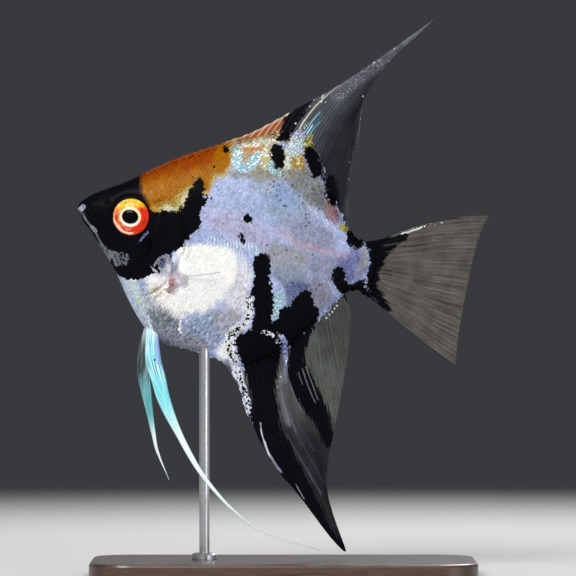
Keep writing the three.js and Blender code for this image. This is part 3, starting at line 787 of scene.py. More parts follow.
def toned(colour, level):
    """A colour with its light multiplied by a level."""
    grey = wire(level.tree, "ShaderNodeCombineColor", {"Red": level, "Green": level, "Blue": level})
    return blend(1, colour, grey, "MULTIPLY")


def stored(tree, name, output="Fac"):
    return wire(tree, "ShaderNodeAttribute", None, output, attribute_name=name)


def object_places(tree):
    return wire(tree, "ShaderNodeTexCoord", None, "Object")


def joined(x, y, z=0):
    """Numbers as coordinates."""
    return wire(x.tree, "ShaderNodeCombineXYZ", {"X": x, "Y": y, "Z": z})


def noise(places, scale, detail=2, output="Fac"):
    """Soft noise from 0 to 1, with so many grains to a metre."""
    inputs = {"Vector": places, "Scale": scale, "Detail": detail}
    return wire(places.tree, "ShaderNodeTexNoise", inputs, output)


def stretched(places, scale):
    return wire(places.tree, "ShaderNodeMapping", {"Vector": places, "Scale": scale})


def drawn_out(places, turn, length):
    """Coordinates drawn out along a line that climbs by turn in the side view."""
    inputs = {"Vector": places, "Scale": (length, 1, 1), "Rotation": (0, -turn, 0)}
    return wire(places.tree, "ShaderNodeMapping", inputs, vector_type="TEXTURE")


def dots(places, scale):
    """Small cells over the surface: how far a place is from its cell's middle, and three lucky numbers."""
    cells = add(places.tree, "ShaderNodeTexVoronoi", {"Vector": places, "Scale": scale}, feature="F1")
    split = add(places.tree, "ShaderNodeSeparateColor", {"Color": Wire(cells.outputs["Color"])})
    return (Wire(cells.outputs["Distance"]), *(Wire(luck) for luck in split.outputs))


def bump(height, strength, distance):
    inputs = {"Height": height, "Strength": strength, "Distance": distance}
    return wire(height.tree, "ShaderNodeBump", inputs)


def node_group(name, inputs, outputs, kind="Shader"):
    """A group's tree, the wires given to it and its output's sockets. An input is a kind or a number."""
    tree = bpy.data.node_groups.new(name, kind + "NodeTree")
    for socket, value in inputs.items():
        sort = value if isinstance(value, str) else "Float"
        item = tree.interface.new_socket(socket, in_out="INPUT", socket_type="NodeSocket" + sort)
        if value is not sort:
            item.default_value = value
    for socket, sort in outputs.items():
        tree.interface.new_socket(socket, in_out="OUTPUT", socket_type="NodeSocket" + sort)
    given = {output.name: Wire(output) for output in tree.nodes.new("NodeGroupInput").outputs}
    return tree, given, tree.nodes.new("NodeGroupOutput").inputs


def use_group(tree, group, **values):
    """What a group puts out for these values, by name."""
    node = add(tree, "ShaderNodeGroup", values, node_tree=group)
    return {output.name: Wire(output) for output in node.outputs}


def new_material(name, viewport, **constants):
    """A material, its tree and its shader's sockets, with the shader's steady values set on them."""
    material = bpy.data.materials.new(name)
    material.use_nodes = True
    material.diffuse_color = (*viewport, 1)
    sockets = material.node_tree.nodes["Principled BSDF"].inputs
    give(sockets, **constants)
    return material, material.node_tree, sockets


def ready(name, make, *given):
    """The finish or group of that name, made the first time it is asked for."""
    return bpy.data.materials.get(name) or bpy.data.node_groups.get(name) or make(name, *given)


def ragged_edge(name):
    """A marking's mask from its depth in millimetres, with an uneven, grainy edge."""
    inputs = {"Depth": 0, "Ragged": 1, "Softness": 0.15}
    tree, given, out = node_group(name, inputs, {"Mask": "Float"})
    places = object_places(tree)
    rough = (noise(places, 620) - 0.5) * 2.2 + (noise(places, 2600) - 0.5) * 0.7
    rough += (dots(places, 1500)[1] - 0.5) * 0.7
    depth = rough * given["Ragged"] + given["Depth"]
    give(out, Mask=depth.fade(given["Softness"] * -1, given["Softness"]))
    return tree


def mask(tree, depth, ragged, softness):
    group = ready("Ragged edge", ragged_edge)
    return use_group(tree, group, Depth=depth, Ragged=ragged, Softness=softness)["Mask"]


def pearl_colour(tree, fish, places, cells, mottle, luck, shine):
    """Pearly flank: the stored tint set with fine grains, brushed silver low down and a comb of painted
    highlight dashes.
    """
    far, lucky_light, lucky_hue, lucky_spark = cells
    core, plain, brushed = far.fade(0.55, 0.12), 1.0 - shine, stored(tree, "brushed")
    pearl = layered(
        stored(tree, "tint", "Color"),
        (lucky_hue.fade(0.6, 0.7, 0, 0.17) * plain, fish.pearl_blue),
        (lucky_hue.fade(0.22, 0.12, 0, 0.13) * plain, fish.pearl_pink),
    )
    hairs = noise(drawn_out(places, math.radians(56), 5), 2300, 3)
    level = core * 0.14 + lucky_light.fade(0, 1, 0.84, 1.06) + (mottle - 0.5) * 0.55
    level += luck * 0.22 - 0.11 + (hairs - 0.5) * brushed * 3.0
    pearl = toned(pearl, (level - 1) * shine.fade(0, 1, 1, 0.4) + 1)
    white = (brushed * 0.07 + lucky_spark).fade(0.9, 0.94) * core
    pearl = blend(white, pearl, blend(0.18, pearl, (0.9, 0.94, 1)))
    across = wire(tree, "ShaderNodeSeparateXYZ", {"Vector": places})
    # Painted highlights: a bright dash on each scale along the belly's upper rim, where scales catch the
    # light.
    highlight_dash = (across * (math.tau / SCALE_HIGHLIGHT_PITCH) + mottle * 14).worked("SINE").fade(-0.2, 0.6)
    highlight_dash *= stored(tree, "comb") * lucky_light.fade(0.1, 0.6, 0.25, 0.85)
    return blend(highlight_dash, pearl, (0.8, 0.94, 0.97))


def nape_colour(tree, fish, cells, cloud):
    """Orange nape, browner along the back and pale yellow where it gives way to other colours."""
    rust = cloud * 1.3 + stored(tree, "rust")
    gold = layered(
        blend(rust.fade(0.1, 0.9), fish.nape_gold, fish.nape_rust),
        (rust.fade(0, -0.7), fish.nape_pale),
        (rust.fade(-0.75, -1.3), (0.6, 0.58, 0.42)),
    )
    return toned(gold, cells[1].fade(0, 1, 0.86, 1.1))


def spark_colour(tree, hue):
    """The light of a glittering grain, from icy cyan at 0 to brown at 1."""
    node = add(tree, "ShaderNodeValToRGB", {0: hue})
    for stop, (position, colour) in enumerate(SPARK_HUES):
        element = node.color_ramp.elements[stop] if stop < 2 else node.color_ramp.elements.new(position)
        element.position, element.color = position, (*colour, 1)
    return Wire(node.outputs[0])


def glitter_colour(tree, cells, ground):
    """Bright grains that grow warmer with the stored warmth, on a duller ground."""
    far, lucky_light, lucky_hue, _ = cells
    warmth = stored(tree, "warmth")
    lit = lucky_light.fade(0.16, 0.24) * far.fade(0.66, 0.4)
    dull = blend(1, spark_colour(tree, warmth), (0.64, 0.64, 0.64), "MULTIPLY")
    spark = spark_colour(tree, lucky_hue.fade(0, 1, -0.22, 0.3) + warmth)
    return blend(lit, blend(0.65, ground, dull), spark)


def flesh_group(name, fish):
    """The colours, gloss and fine relief of skin and scales alike, from the values stored on them."""
    outputs = dict.fromkeys(("Roughness", "Metallic", "Coat", "Height"), "Float") | {"Colour": "Color"}
    tree, given, out = node_group(name, {"Ragged": 1, "Sparkle": 1.0}, outputs)
    places = object_places(tree)
    luck, shine, veil = stored(tree, "luck"), stored(tree, "shine"), stored(tree, "veil")
    cells = dots(places, 1800)
    own = luck * 0.5 + stored(tree, "black") - 0.25 + (cells[1] - 0.5) * stored(tree, "fleck") * 3.0
    black = mask(tree, own, given["Ragged"] * (1.0 - veil * 0.5), veil * 0.75 + 0.14)
    bright = mask(tree, stored(tree, "glitter"), 0.5, 0.3) * given["Sparkle"]
    mottle, grain = noise(places, 330, 3), noise(places, 5200)
    cloud = mottle - 0.5
    nape = (cloud * 3.0 + stored(tree, "nape")).fade(-1.1, 1.1)
    pearl = pearl_colour(tree, fish, places, cells, mottle, luck, shine)
    colour = blend(nape, pearl, nape_colour(tree, fish, cells, cloud))
    colour = blend(bright, colour, glitter_colour(tree, cells, colour))
    far, lucky, size, _ = dots(places, 1150)
    speck = (far + 0.1 - size * 0.25).fade(0.36, 0.12) * (lucky + stored(tree, "speck")).fade(1, 1.04)
    colour = blend(speck * 0.85, colour, blend(nape, (0.05, 0.05, 0.06), (0.09, 0.016, 0.004)))
    colour = toned(colour, stored(tree, "rim") * (nape * 0.17 - 0.19) + 1)
    wet = (1.0 - black) * (1.0 - nape * 0.8)
    give(
        out,
        Colour=blend(black, colour, fish.black),
        Metallic=(bright * 0.2 + (1.0 - shine) * 0.14 + 0.04) * wet,
        Roughness=luck * 0.1 + grain.fade(0.2, 0.8, 0.32, 0.46) + black * 0.1,
        Coat=wet * 0.28 + 0.03,
        Height=cells[0].fade(0.55, 0.12) * 0.3 + grain - stored(tree, "brushed") * 0.2,
    )
    return tree


def flesh_material(name, fish, ragged, sparkle, relief_depth):
    """The finish of skin or scales: the flesh group with its own values."""
    gloss = {"IOR": 1.42, "Specular_IOR_Level": 0.03, "Coat_Roughness": 0.18, "Coat_IOR": 1.4}
    material, tree, shader = new_material(name, FLANK, **gloss)
    group = ready("Fish flesh", flesh_group, fish)
    flesh = use_group(tree, group, Ragged=ragged, Sparkle=sparkle)
    give(
        shader,
        Base_Color=flesh["Colour"],
        Roughness=flesh["Roughness"],
        Metallic=flesh["Metallic"],
        Coat_Weight=flesh["Coat"],
        Normal=bump(flesh["Height"], 0.35, relief_depth),
    )
    return material


def ray_group(name):
    """Masks of a fin's rays, forking as they climb, and of the joints across them."""
    inputs = {"Phase": 0, "Climb": 0, "Fork": 1, "Refork": 1, "Reach": 0.0}
    tree, given, out = node_group(name, inputs, {"Ray": "Float", "Joint": "Float"})
    climb = given["Climb"]
    off = abs((given["Phase"] + 0.5).worked("FRACT") - 0.5)
    off = abs(off - climb.fade(0.25, 0.85, 0, 0.25) * given["Fork"])
    off = abs(off - climb.fade(0.55, 1, 0, 0.125) * given["Refork"])
    joint = (given["Reach"] * 6.5).worked("SINE").fade(0.75, 0.98) * given["Fork"]
    give(out, Ray=(off / climb.fade(0.2, 1, 0.17, 0.08)).fade(1, 0.3), Joint=joint)
    return tree


def fin_material(name, fins):
    """Smoky web with slightly paler rays, streaky black bands, and a few sparks."""
    material, tree, shader = new_material(name, fins.dorsal_web, Specular_IOR_Level=0.03, Roughness=0.45)
    places = object_places(tree)
    inputs = {name.capitalize(): stored(tree, name) for name in ("phase", "climb", "fork", "refork", "reach")}
    rays = use_group(tree, ready("Fin rays", ray_group), **inputs)
    clear, pigment = stored(tree, "clear"), stored(tree, "wash")
    ray = (rays["Ray"] - rays["Joint"] * 0.25).worked("MAXIMUM", 0) * clear

    def lengthwise(narrow, slow):
        return noise(joined(inputs["Phase"] * narrow, inputs["Reach"] * slow), 1, 3)

    streak, hair = lengthwise(1.7, 0.1), lengthwise(6.5, 0.07)
    black = mask(tree, (streak - 0.5) * 4.0 + stored(tree, "black") - ray * 0.4, 0.4, 0.35)
    cloud = noise(places, 200, 3)
    bare = 1.0 - pigment * 0.45
    level = streak * 1.1 + cloud.fade(0.3, 0.7, 0.3, 0.6) + (hair - 0.5) * clear * 1.3
    level = (bare * (level - 1) + 1) * (ray * bare * stored(tree, "ray_light") + 1)
    colour = blend(black, toned(stored(tree, "tint", "Color"), level), fins.black)
    far, lucky, _, _ = dots(places, 560)
    glint = far.fade(0.2, 0.07) * lucky.fade(0.5, 0.56) * stored(tree, "glint")
    near, _, _, bright = dots(places, 1700)
    spark = near.fade(0.5, 0.25) * bright.fade(0.35, 0.5) * stored(tree, "spark")
    white = glint.worked("MAXIMUM", spark)
    cover = stored(tree, "cover") * (ray * 0.25 + cloud.fade(0.3, 0.7, 0.92, 1.1))
    for solid in (black * 0.99, pigment, white):
        cover = cover.worked("MAXIMUM", solid)
    colour = blend(white, colour, (0.9, 0.94, 1))
    give(shader, Base_Color=colour, Alpha=cover.worked("MINIMUM", 1), Normal=bump(ray, 0.25, 0.00004))
    return material


def pelvic_material(name, fins):
    """Pearly turquoise with fine lengthwise rays, going white and then clear to a thread. The far fin is
    darker and duller near its root: painted shade.
    """
    gloss = {"IOR": 1.45, "Specular_IOR_Level": 0.1, "Coat_Weight": 0.2, "Coat_Roughness": 0.15}
    material, tree, shader = new_material(name, fins.turquoise, Roughness=0.4, **gloss)
    across, reach, far = stored(tree, "across"), stored(tree, "reach"), stored(tree, "far")
    lines = noise(joined(across * 2.6, reach * 0.05, far), 2.6, 4)
    # Painted shade: the far fin, behind the near one, turns dull teal and near black towards its root.
    far_shade = blend((lines * 16.0 + reach).fade(26, 18), fins.turquoise_far_shade, (0.05, 0.065, 0.075))
    far_shade = blend(lines.fade(0.5, 0.62) * 0.4, far_shade, (0.55, 0.6, 0.62))
    specks, lucky, _, _ = dots(object_places(tree), 520)
    colour = layered(
        blend(lines.fade(0.38, 0.56), fins.turquoise_deep, fins.turquoise),
        (lines.fade(0.52, 0.64), (0.88, 0.97, 1)),
        (lines.fade(0.4, 0.33, 0, 0.85), (0.02, 0.1, 0.16)),
        (across.fade(-0.2, -0.8) * reach.fade(17, 5) * 0.85, (0.2, 0.24, 0.66)),
        (reach.fade(10, 18) * 0.45, (0.16, 0.8, 0.82)),
        (reach.fade(20, 33, 0, 0.92), (0.88, 0.95, 0.94)),
        (far * reach.fade(29, 23), far_shade),
        (reach.fade(5, 1) * 0.6, (0.8, 0.9, 0.95)),
        (abs(across).fade(0.8, 1) * 0.6, (0.03, 0.08, 0.12)),
        (specks.fade(0.22, 0.12) * lucky.fade(0.9, 0.92), (0.01, 0.012, 0.03)),
    )
    give(shader, Base_Color=colour, Alpha=reach.fade(54, 66, 1, 0.5), Normal=bump(lines, 0.4, 0.00015))
    return material


def eye_material(name, eyes):
    """Red and yellow iris with a cream ring round a black pupil."""
    gloss = {"IOR": 1.4, "Specular_IOR_Level": 0.03, "Coat_Weight": 0.2, "Coat_Roughness": 0.04}
    material, tree, shader = new_material(name, eyes.red, Roughness=0.4, **gloss)
    ex, ez = stored(tree, "iris_along"), stored(tree, "iris_up")

    def radius(wide, tall):
        u, v = ex / wide, ez / tall
        return (u * u + v * v).worked("SQRT")

    out, angle = radius(1, 1), ez.worked("ARCTAN2", ex)
    rings = noise(joined(angle * 1.3, out * 7), 1.5, 3)
    fibres = noise(joined(angle * 7, out * 1.6), 1.6, 4)
    left, top = (ex - ez * 0.15).fade(0, -0.6), (ez - ex * 0.3).fade(0.3, 0.72)
    lower = left.worked("MAXIMUM", (ex * 0.5 + ez).fade(-0.4, -0.75))
    crescent = out.fade(0.8, 0.86) * out.fade(0.95, 0.91)
    colour = layered(
        blend(left, eyes.red, eyes.orange),
        (top, eyes.yellow),
        (rings.fade(0.5, 0.62) * lower * 0.8, (0.95, 0.66, 0.44)),
        (rings.fade(0.46, 0.36) * out.fade(0.62, 0.75) * 0.7, (0.2, 0.012, 0.004)),
        (fibres.fade(0.56, 0.64) * top * 0.75, (1, 0.96, 0.62)),
        ((ex * 0.45 + ez).fade(-0.6, -0.82) * crescent, (0.98, 0.78, 0.56)),
        (radius(0.575, 0.53).fade(1.07, 0.97), blend(ez.fade(0.1, -0.5), eyes.ring, (0.98, 0.93, 0.8))),
        (out.fade(0.955, 1), (0.006, 0.004, 0.005)),
        (radius(0.45, 0.38).fade(1.04, 0.98), (0.0006, 0.0006, 0.001)),
    )
    give(shader, Base_Color=colour, Normal=bump(fibres, 0.2, 0.00008))
    return material


def wood_material(name, stand):
    """Dark stained hardwood with fine pores under satin lacquer."""
    gloss = {"IOR": 1.5, "Coat_Weight": 0.45, "Coat_Roughness": 0.22}
    material, tree, shader = new_material(name, stand.wood, **gloss)
    places = object_places(tree)
    wander = noise(stretched(places, (0.3, 1, 1)), 26, 3, "Color")
    warp = wire(tree, "ShaderNodeVectorMath", {0: wander, 1: (0.006, 0.006, 0.006)}, operation="MULTIPLY")
    bends = {0: stretched(places, (0.09, 1, 1)), 1: warp}
    bent = wire(tree, "ShaderNodeVectorMath", bends, operation="ADD")
    bands = {"Vector": bent, "Scale": 62, "Distortion": 5, "Detail": 3.0}
    rings = wire(tree, "ShaderNodeTexWave", bands, "Fac", bands_direction="Y")
    fibres = noise(stretched(places, (0.05, 1, 1)), 2600, 3)
    pores = noise(stretched(places, (0.07, 1, 1)), 1500, 1).fade(0.62, 0.72)
    grain = fibres * 0.75 + rings * 0.25
    colour = blend(grain.fade(0.25, 0.75), stand.wood, stand.wood_pale)
    give(
        shader,
        Base_Color=blend(pores * 0.7, colour, (0.006, 0.003, 0.002)),
        Roughness=grain.fade(0.2, 0.8, 0.34, 0.5),
        Normal=bump(fibres * 0.3 - pores * 0.8, 0.35, 0.0001),
    )
    return material


def steel_material(name, stand):
    """Satin stainless steel, drawn lengthwise, with faint handling marks."""
    material, tree, shader = new_material(name, stand.steel, Metallic=1)
    places = object_places(tree)
    drawn = noise(stretched(places, (1, 1, 0.02)), 7000)
    marks = noise(places, 130, 3)
    give(
        shader,
        Base_Color=blend(marks.fade(0.35, 0.7), stand.steel, [0.8 * c for c in stand.steel]),
        Roughness=drawn * 0.12 + marks.fade(0.3, 0.7, 0.2, 0.3),
        Normal=bump(drawn, 0.2, 0.00003),
    )
    return material


# ---- Settings ----
def number_of(name, description, default, kind=FloatProperty, **sort):
    return kind(name=name, description=description, default=default, **sort)


def length_of(*words):
    return number_of(*words, min=0, unit="LENGTH")


def power_of(*words):
    return number_of(*words, min=0, unit="POWER")


def colour_of(*words):
    return number_of(*words, FloatVectorProperty, size=3, subtype="COLOR", min=0, max=1)


class FishCoatSettings(PropertyGroup):
    coat_depth: length_of("Coat depth", "How far the skin lies inside the solid flesh", 0.0002)
    scale_pitch: length_of("Scale pitch", "From one scale to the next along a row of the flank", 0.00096)
    row_pitch: length_of("Row pitch", "From one row of the flank's scales to the next", 0.00054)
    cheek_pitch: length_of("Cheek scale pitch", "From one scale to the next on the head", 0.00085)
    cheek_row_pitch: length_of("Cheek row pitch", "From one row to the next on the head", 0.00047)
    lift: number_of("Lift", "Tilt of a scale's free edge off the skin", math.radians(1.3), subtype="ANGLE")
    seed: number_of("Seed", "Seed of the scales' small differences", 7, IntProperty)
    pearl_blue: colour_of("Pearl blue", "Cool light in the pearly flank", (0.34, 0.50, 0.98))
    pearl_pink: colour_of("Pearl pink", "Warm light in the pearly flank", (0.66, 0.50, 0.68))
    scale_thickness: length_of("Scale thickness", "Height of a scale's dome", 0.000036)
    nape_gold: colour_of("Nape gold", "Orange of the nape by the eye", (0.365, 0.126, 0.001))
    nape_rust: colour_of("Nape rust", "Brown orange along the back", (0.30, 0.050, 0.001))
    nape_pale: colour_of("Nape pale", "Straw yellow where the orange gives way", (0.44, 0.36, 0.10))
    black: colour_of("Black", "Black of the mask and bars", (0.0025, 0.0025, 0.004))


class EyeSettings(PropertyGroup):
    iris_radius: length_of("Iris radius", "Radius of the iris where it meets the skin", 0.0050)
    red: colour_of("Red", "Red of the iris behind the pupil", (0.74, 0.028, 0.006))
    orange: colour_of("Orange", "Orange of the iris before the pupil", (0.80, 0.12, 0.02))
    yellow: colour_of("Yellow", "Yellow along the top of the iris", (0.93, 0.56, 0.02))
    ring: colour_of("Ring", "Cream ring round the pupil", (0.92, 0.76, 0.46))


class FinSettings(PropertyGroup):
    web_thickness: length_of("Web thickness", "Thickness of the clear web between rays", 0.00014)
    ray_thickness: length_of("Ray thickness", "Thickness that a ray adds at its root", 0.0005)
    dorsal_web: colour_of("Dorsal web", "Slate blue of the dorsal fin's web", (0.066, 0.071, 0.088))
    anal_web: colour_of("Anal web", "Grey olive of the anal fin's web", (0.090, 0.098, 0.088))
    tail_web: colour_of("Tail web", "Grey brown of the tail fin's web", (0.110, 0.102, 0.090))
    pectoral_web: colour_of("Pectoral web", "Clear web of the pectoral fins", (0.66, 0.68, 0.72))
    spine: colour_of("Spines", "Salmon of the dorsal spines", (0.62, 0.24, 0.10))
    black: colour_of("Black", "Black bands across the fins", (0.0025, 0.0025, 0.005))
    turquoise: colour_of("Turquoise", "Pearly blue of the pelvic fins", (0.40, 0.86, 0.93))
    turquoise_deep: colour_of("Deep turquoise", "Deeper streaks in the pelvic fins", (0.10, 0.42, 0.56))
    # The far pelvic fin's duller, darker teal is painted shade on the fin behind.
    turquoise_far_shade: colour_of("Dusky turquoise", "Dull teal of the far pelvic fin", (0.09, 0.40, 0.42))


class StandSettings(PropertyGroup):
    wood: colour_of("Wood", "Dark stain of the base", (0.030, 0.014, 0.008))
    wood_pale: colour_of("Pale grain", "Paler grain of the base", (0.085, 0.040, 0.020))
    steel: colour_of("Steel", "Colour of the rod and its collar", (0.60, 0.60, 0.61))


class StageSettings(PropertyGroup):
    floor: colour_of("Floor", "Pale floor", (0.70, 0.69, 0.67))
    floor_reach: length_of("Floor reach", "Where the floor has dissolved into the backdrop", 0.65)
    backdrop: colour_of("Backdrop", "Grey seen behind the fish", (0.040, 0.042, 0.046))
    ambience: colour_of("Ambience", "Soft light from all round", (0.245, 0.25, 0.265))
    key_power: power_of("Key light", "Power of the large light above the camera", 8.6)
    fill_power: power_of("Fill light", "Power of the soft light on the right", 2.5)
    rim_power: power_of("Rim light", "Power of the light behind the fins", 3.6)
    distance: length_of("Camera distance", "From the camera to the fish's midplane", 1.4)
    view_width: length_of("View width", "Width of the view at the fish's midplane", 0.1555)
    aim_x: number_of("Aim along", "Middle of the view along the fish", 0.00117, unit="LENGTH")
    aim_z: number_of("Aim height", "Height of the middle of the view", 0.0778, unit="LENGTH")


# ---- Skin ----
STATIONS = 430
ROUND = 208
FLESH_SOLIDS = (
    "head", "upper_jaw", "lower_jaw", "gill_cover_left", "gill_cover_right", "trunk", "tail_root",
)
SNOUT_SHARE = 0.018  # the first stretch of the body, which closes over the lips


def grid_normals(points):
    """Unit normals of a grid of places that closes round its columns, pointing away from its middle."""
    along_rows = np.gradient(points, axis=0)
    round_rows = np.roll(points, -1, 1) - np.roll(points, 1, 1)
    normals = unit(np.cross(along_rows, round_rows))
    outward = points - points.mean(1, keepdims=True)
    return normals if (normals * outward).sum() > 0 else -normals


def skin_surface(depth):
    """The grid of places of the bare skin, in the fish's frame, with every fold of the head."""
    t = np.interp(np.linspace(0, 1, STATIONS), (0, 0.62, 1), (0.0007, 0.42, 1))[:, None]
    angle = (math.tau * np.arange(ROUND) / ROUND)[None, :]
    points = body_surface(t + 0 * angle, angle + 0 * t, -depth)
    rounding = np.sqrt(1 - np.clip(1 - t / SNOUT_SHARE, 0, 1) ** 2)[..., None]
    middle = points.mean(1, keepdims=True)
    points = middle + (points - middle) * rounding
    lift = relief(points[..., 0], points[..., 2])
    return points + grid_normals(points) * lift[..., None]


def capped_grid(points):
    """Vertices and faces of a grid closed round its columns, with a fan over each end."""
    rows, columns = points.shape[:2]
    ends = points[[0, -1]].mean(1)
    vertices = np.concatenate([points.reshape(-1, 3), ends])
    faces = grid_faces(rows, columns, wrap=True)
    last = (rows - 1) * columns
    for j in range(columns):
        k = (j + 1) % columns
        faces.append([rows * columns, k, j])
        faces.append([rows * columns + 1, last + j, last + k])
    return vertices, faces


def fish_values(places):
    """The marking values of places in the fish's frame."""
    return markings(places[:, 0], places[:, 2], places[:, 1] < 0)


def skin_mesh(context):
    return capped_grid(skin_surface(context.scene.fish_coat.coat_depth / MM))


class FISH_OT_skin(Operator):
    """One skin over head, gill covers, trunk and tail root"""

    bl_idname = "fish.skin"
    bl_label = "Skin"

    def execute(self, context):
        vertices, faces = skin_mesh(context)
        values = fish_values(vertices) | {"luck": np.full(len(vertices), 0.5), "rim": np.zeros(len(vertices))}
        finish = ready("Fish skin", flesh_material, context.scene.fish_coat, 0.8, 0.7, 0.00008)
        add_piece("skin", vertices, faces, finish, values, "skin", *FLESH_SOLIDS)
        return {"FINISHED"}


# ---- Scales ----
# The rear edge of the head, as z and x, and the part of the head that bears scales.
BACK_OF_HEAD = (
    (-30, 15), (-25, 18), (-18.6, 24), (-14.6, 27.6), (-10.4, 29.6), (-4.9, 30.3), (0.4, 28.9), (5.4, 25.2),
    (12, 22.4), (18.5, 21), (34, 19),
)
SCALY_HEAD = (
    (11.6, 16.4), (14, 10.4), (18.6, 7), (21.4, 1.6), (20.9, -2.6), (18.6, -5.9), (14.6, -6.6),
    (11.4, -9.6), (13.6, -13.4), (17, -17.2), (20.4, -23.6), (24, -20), (27.6, -14.8), (29.6, -10),
    (30.3, -4.9), (28.8, 0.4), (25.2, 5.4), (22.4, 12), (24.4, 22),
)
# How far each marking keeps to one value over a whole scale; the rest follows the place on it.
OWN_SHARES = {"black": 0.5, "nape": 0.5, "glitter": 0.3, "tint": 1, "shine": 1, "warmth": 1}
REAR_FLANK = 44.0  # where one piece of flank scales ends and the next begins
FAR_ASIDE = 40.0  # millimetres from the midplane, outside every surface
UV_PATCH = 0.003  # a scale's size on the unwrap
# How far scales climb a fin's base: shares of the fan from front to rear, and the heights there.
SHEATHS = {
    "dorsal": ((0, 0.3, 0.45, 0.6, 1), (2.2, 2.8, 1.8, 0.8, 0.5), 0.9),
    "anal": ((0, 0.3, 0.5, 0.7, 1), (3.2, 3.8, 3.4, 0.9, 0.4), -1),
}


def sheath_height(name, phase):
    """How high the scales climb a fin's base, in millimetres, along its fan of rays."""
    _, spines, soft, _, _, _ = FIN_PLANS[name]
    shares, heights, _ = SHEATHS[name]
    return np.interp(phase / (spines + soft), shares, heights)


def scale_shape():
    """One scale: a low dome with a round free edge, root at x 0, tip at x 1, closed underneath."""
    sides = 8
    turn = math.tau * (np.arange(sides) + 0.5) / sides
    c, s = np.cos(turn), np.sin(turn)
    edge = np.stack([0.47 + 0.55 * c, 0.52 * s * (1 + 0.12 * c), 0 * turn], -1)
    middle = np.array([0.5, 0, 0.9])
    ring = middle + (edge - middle) * 0.68
    ring[:, 2] = 0.78
    edge[:, 2] = 0.25
    under = edge - (0, 0, 0.5)
    vertices = np.concatenate([[middle], ring, edge, under])
    faces = []
    for j in range(sides):
        k = (j + 1) % sides
        faces.append([0, 1 + j, 1 + k])
        for inner in (1, 1 + sides):
            faces.append([inner + j, inner + sides + j, inner + sides + k, inner + k])
    faces.append(list(range(3 * sides, 2 * sides, -1)))
    return vertices, faces


def coat_tree(name):
    """Sets one scale on every point, turned and sized by the values stored there."""
    kinds = {
        "Points": "Geometry", "Scale": "Object", "Lift": "Float", "Unevenness": "Float", "Seed": "Int",
        "Finish": "Material",
    }
    tree, given, out = node_group(name, kinds, {"Geometry": "Geometry"}, "Geometry")
    turn, size = (
        wire(tree, "GeometryNodeInputNamedAttribute", {"Name": value}, data_type="FLOAT_VECTOR")
        for value in ("turn", "size")
    )
    lifting = wire(tree, "ShaderNodeCombineXYZ", {"Y": given["Lift"] * -1.0})
    lie, lifted = (wire(tree, "FunctionNodeEulerToRotation", {"Euler": way}) for way in (turn, lifting))
    turns = {"Rotation": lie, "Rotate By": lifted}
    lie = wire(tree, "FunctionNodeRotateRotation", turns, rotation_space="LOCAL")
    limits = {2: 1.0 - given["Unevenness"], 3: given["Unevenness"] + 1, "Seed": given["Seed"]}
    luck = wire(tree, "FunctionNodeRandomValue", limits, 1, data_type="FLOAT")
    size = wire(tree, "ShaderNodeVectorMath", {0: size, "Scale": luck}, operation="SCALE")
    shape = wire(tree, "GeometryNodeObjectInfo", {"Object": given["Scale"]}, "Geometry")
    links = {"Points": given["Points"], "Instance": shape, "Rotation": lie, "Scale": size}
    scales = wire(tree, "GeometryNodeInstanceOnPoints", links)
    real = wire(tree, "GeometryNodeRealizeInstances", {"Geometry": scales})
    finished = wire(tree, "GeometryNodeSetMaterial", {"Geometry": real, "Material": given["Finish"]})
    give(out, Geometry=finished)
    return tree


def plain_mesh(points, tree, inputs, name):
    """The mesh that a geometry tree makes of a mesh of points."""
    carrier = new_object(name + ".points", points)
    modifier = carrier.modifiers.new("Coat", "NODES")
    modifier.node_group = tree
    for item in tree.interface.items_tree:
        if item.item_type == "SOCKET" and item.in_out == "INPUT" and item.name in inputs:
            modifier[item.identifier] = inputs[item.name]
    evaluated = carrier.evaluated_get(bpy.context.evaluated_depsgraph_get())
    mesh = bpy.data.meshes.new_from_object(evaluated)
    mesh.name = name
    bpy.data.objects.remove(carrier)
    bpy.data.meshes.remove(points)
    return mesh


def eulers(ahead, up):
    """The turns that carry +X to ahead and +Z to up, in radians."""
    across = np.cross(up, ahead)
    return np.stack([
        np.arctan2(across[:, 2], up[:, 2]),
        -np.arcsin(np.clip(ahead[:, 2], -1, 1)),
        np.arctan2(ahead[:, 1], ahead[:, 0]),
    ], -1)


def staggered(low, high, pitch, row_pitch):
    """Places in staggered rows, with rows that waver a little as a real coat's do."""
    rows = np.arange(low[1], high[1], row_pitch)
    x = np.arange(low[0], high[0], pitch)
    grid_x, grid_z = np.meshgrid(x, rows)
    grid_x = grid_x + (np.arange(len(rows)) % 2)[:, None] * pitch / 2
    shift = np.random.default_rng(3).uniform(-0.14, 0.14, (2,) + grid_x.shape)
    grid_z = grid_z + 0.35 * np.sin(grid_x / 8.5) + 0.15 * np.sin(grid_z / 3.1 + grid_x / 5)
    return (grid_x + pitch * shift[0]).ravel(), (grid_z + row_pitch * shift[1]).ravel()


def seats(tree, x, z, side):
    """Where lines through the side view first meet a surface: which of them do, place, normal and face."""
    hits = []
    for k in range(len(x)):
        start = Vector((x[k], FAR_ASIDE * side, z[k]))
        place, normal, face, _ = tree.ray_cast(start, Vector((0, -side, 0)))
        if place is not None:
            hits.append((k, place, normal * (1 if normal.y * side > 0 else -1), face))
    return [np.array(column) for column in zip(*hits)]


def seat_points(name, roots, ahead, up, sizes):
    """The seats of scales as a mesh of points that holds the turn and the size of each."""
    points = new_mesh(name, placed(roots), [])
    ahead, up = (unit(placed(ways) - placed(np.zeros((1, 3)))) for ways in (ahead, up))
    for value, rows in (("turn", eulers(ahead, up)), ("size", sizes * MM)):
        attribute = points.attributes.new(value, "FLOAT_VECTOR", "POINT")
        attribute.data.foreach_set("vector", rows.astype(np.float32).ravel())
    return points


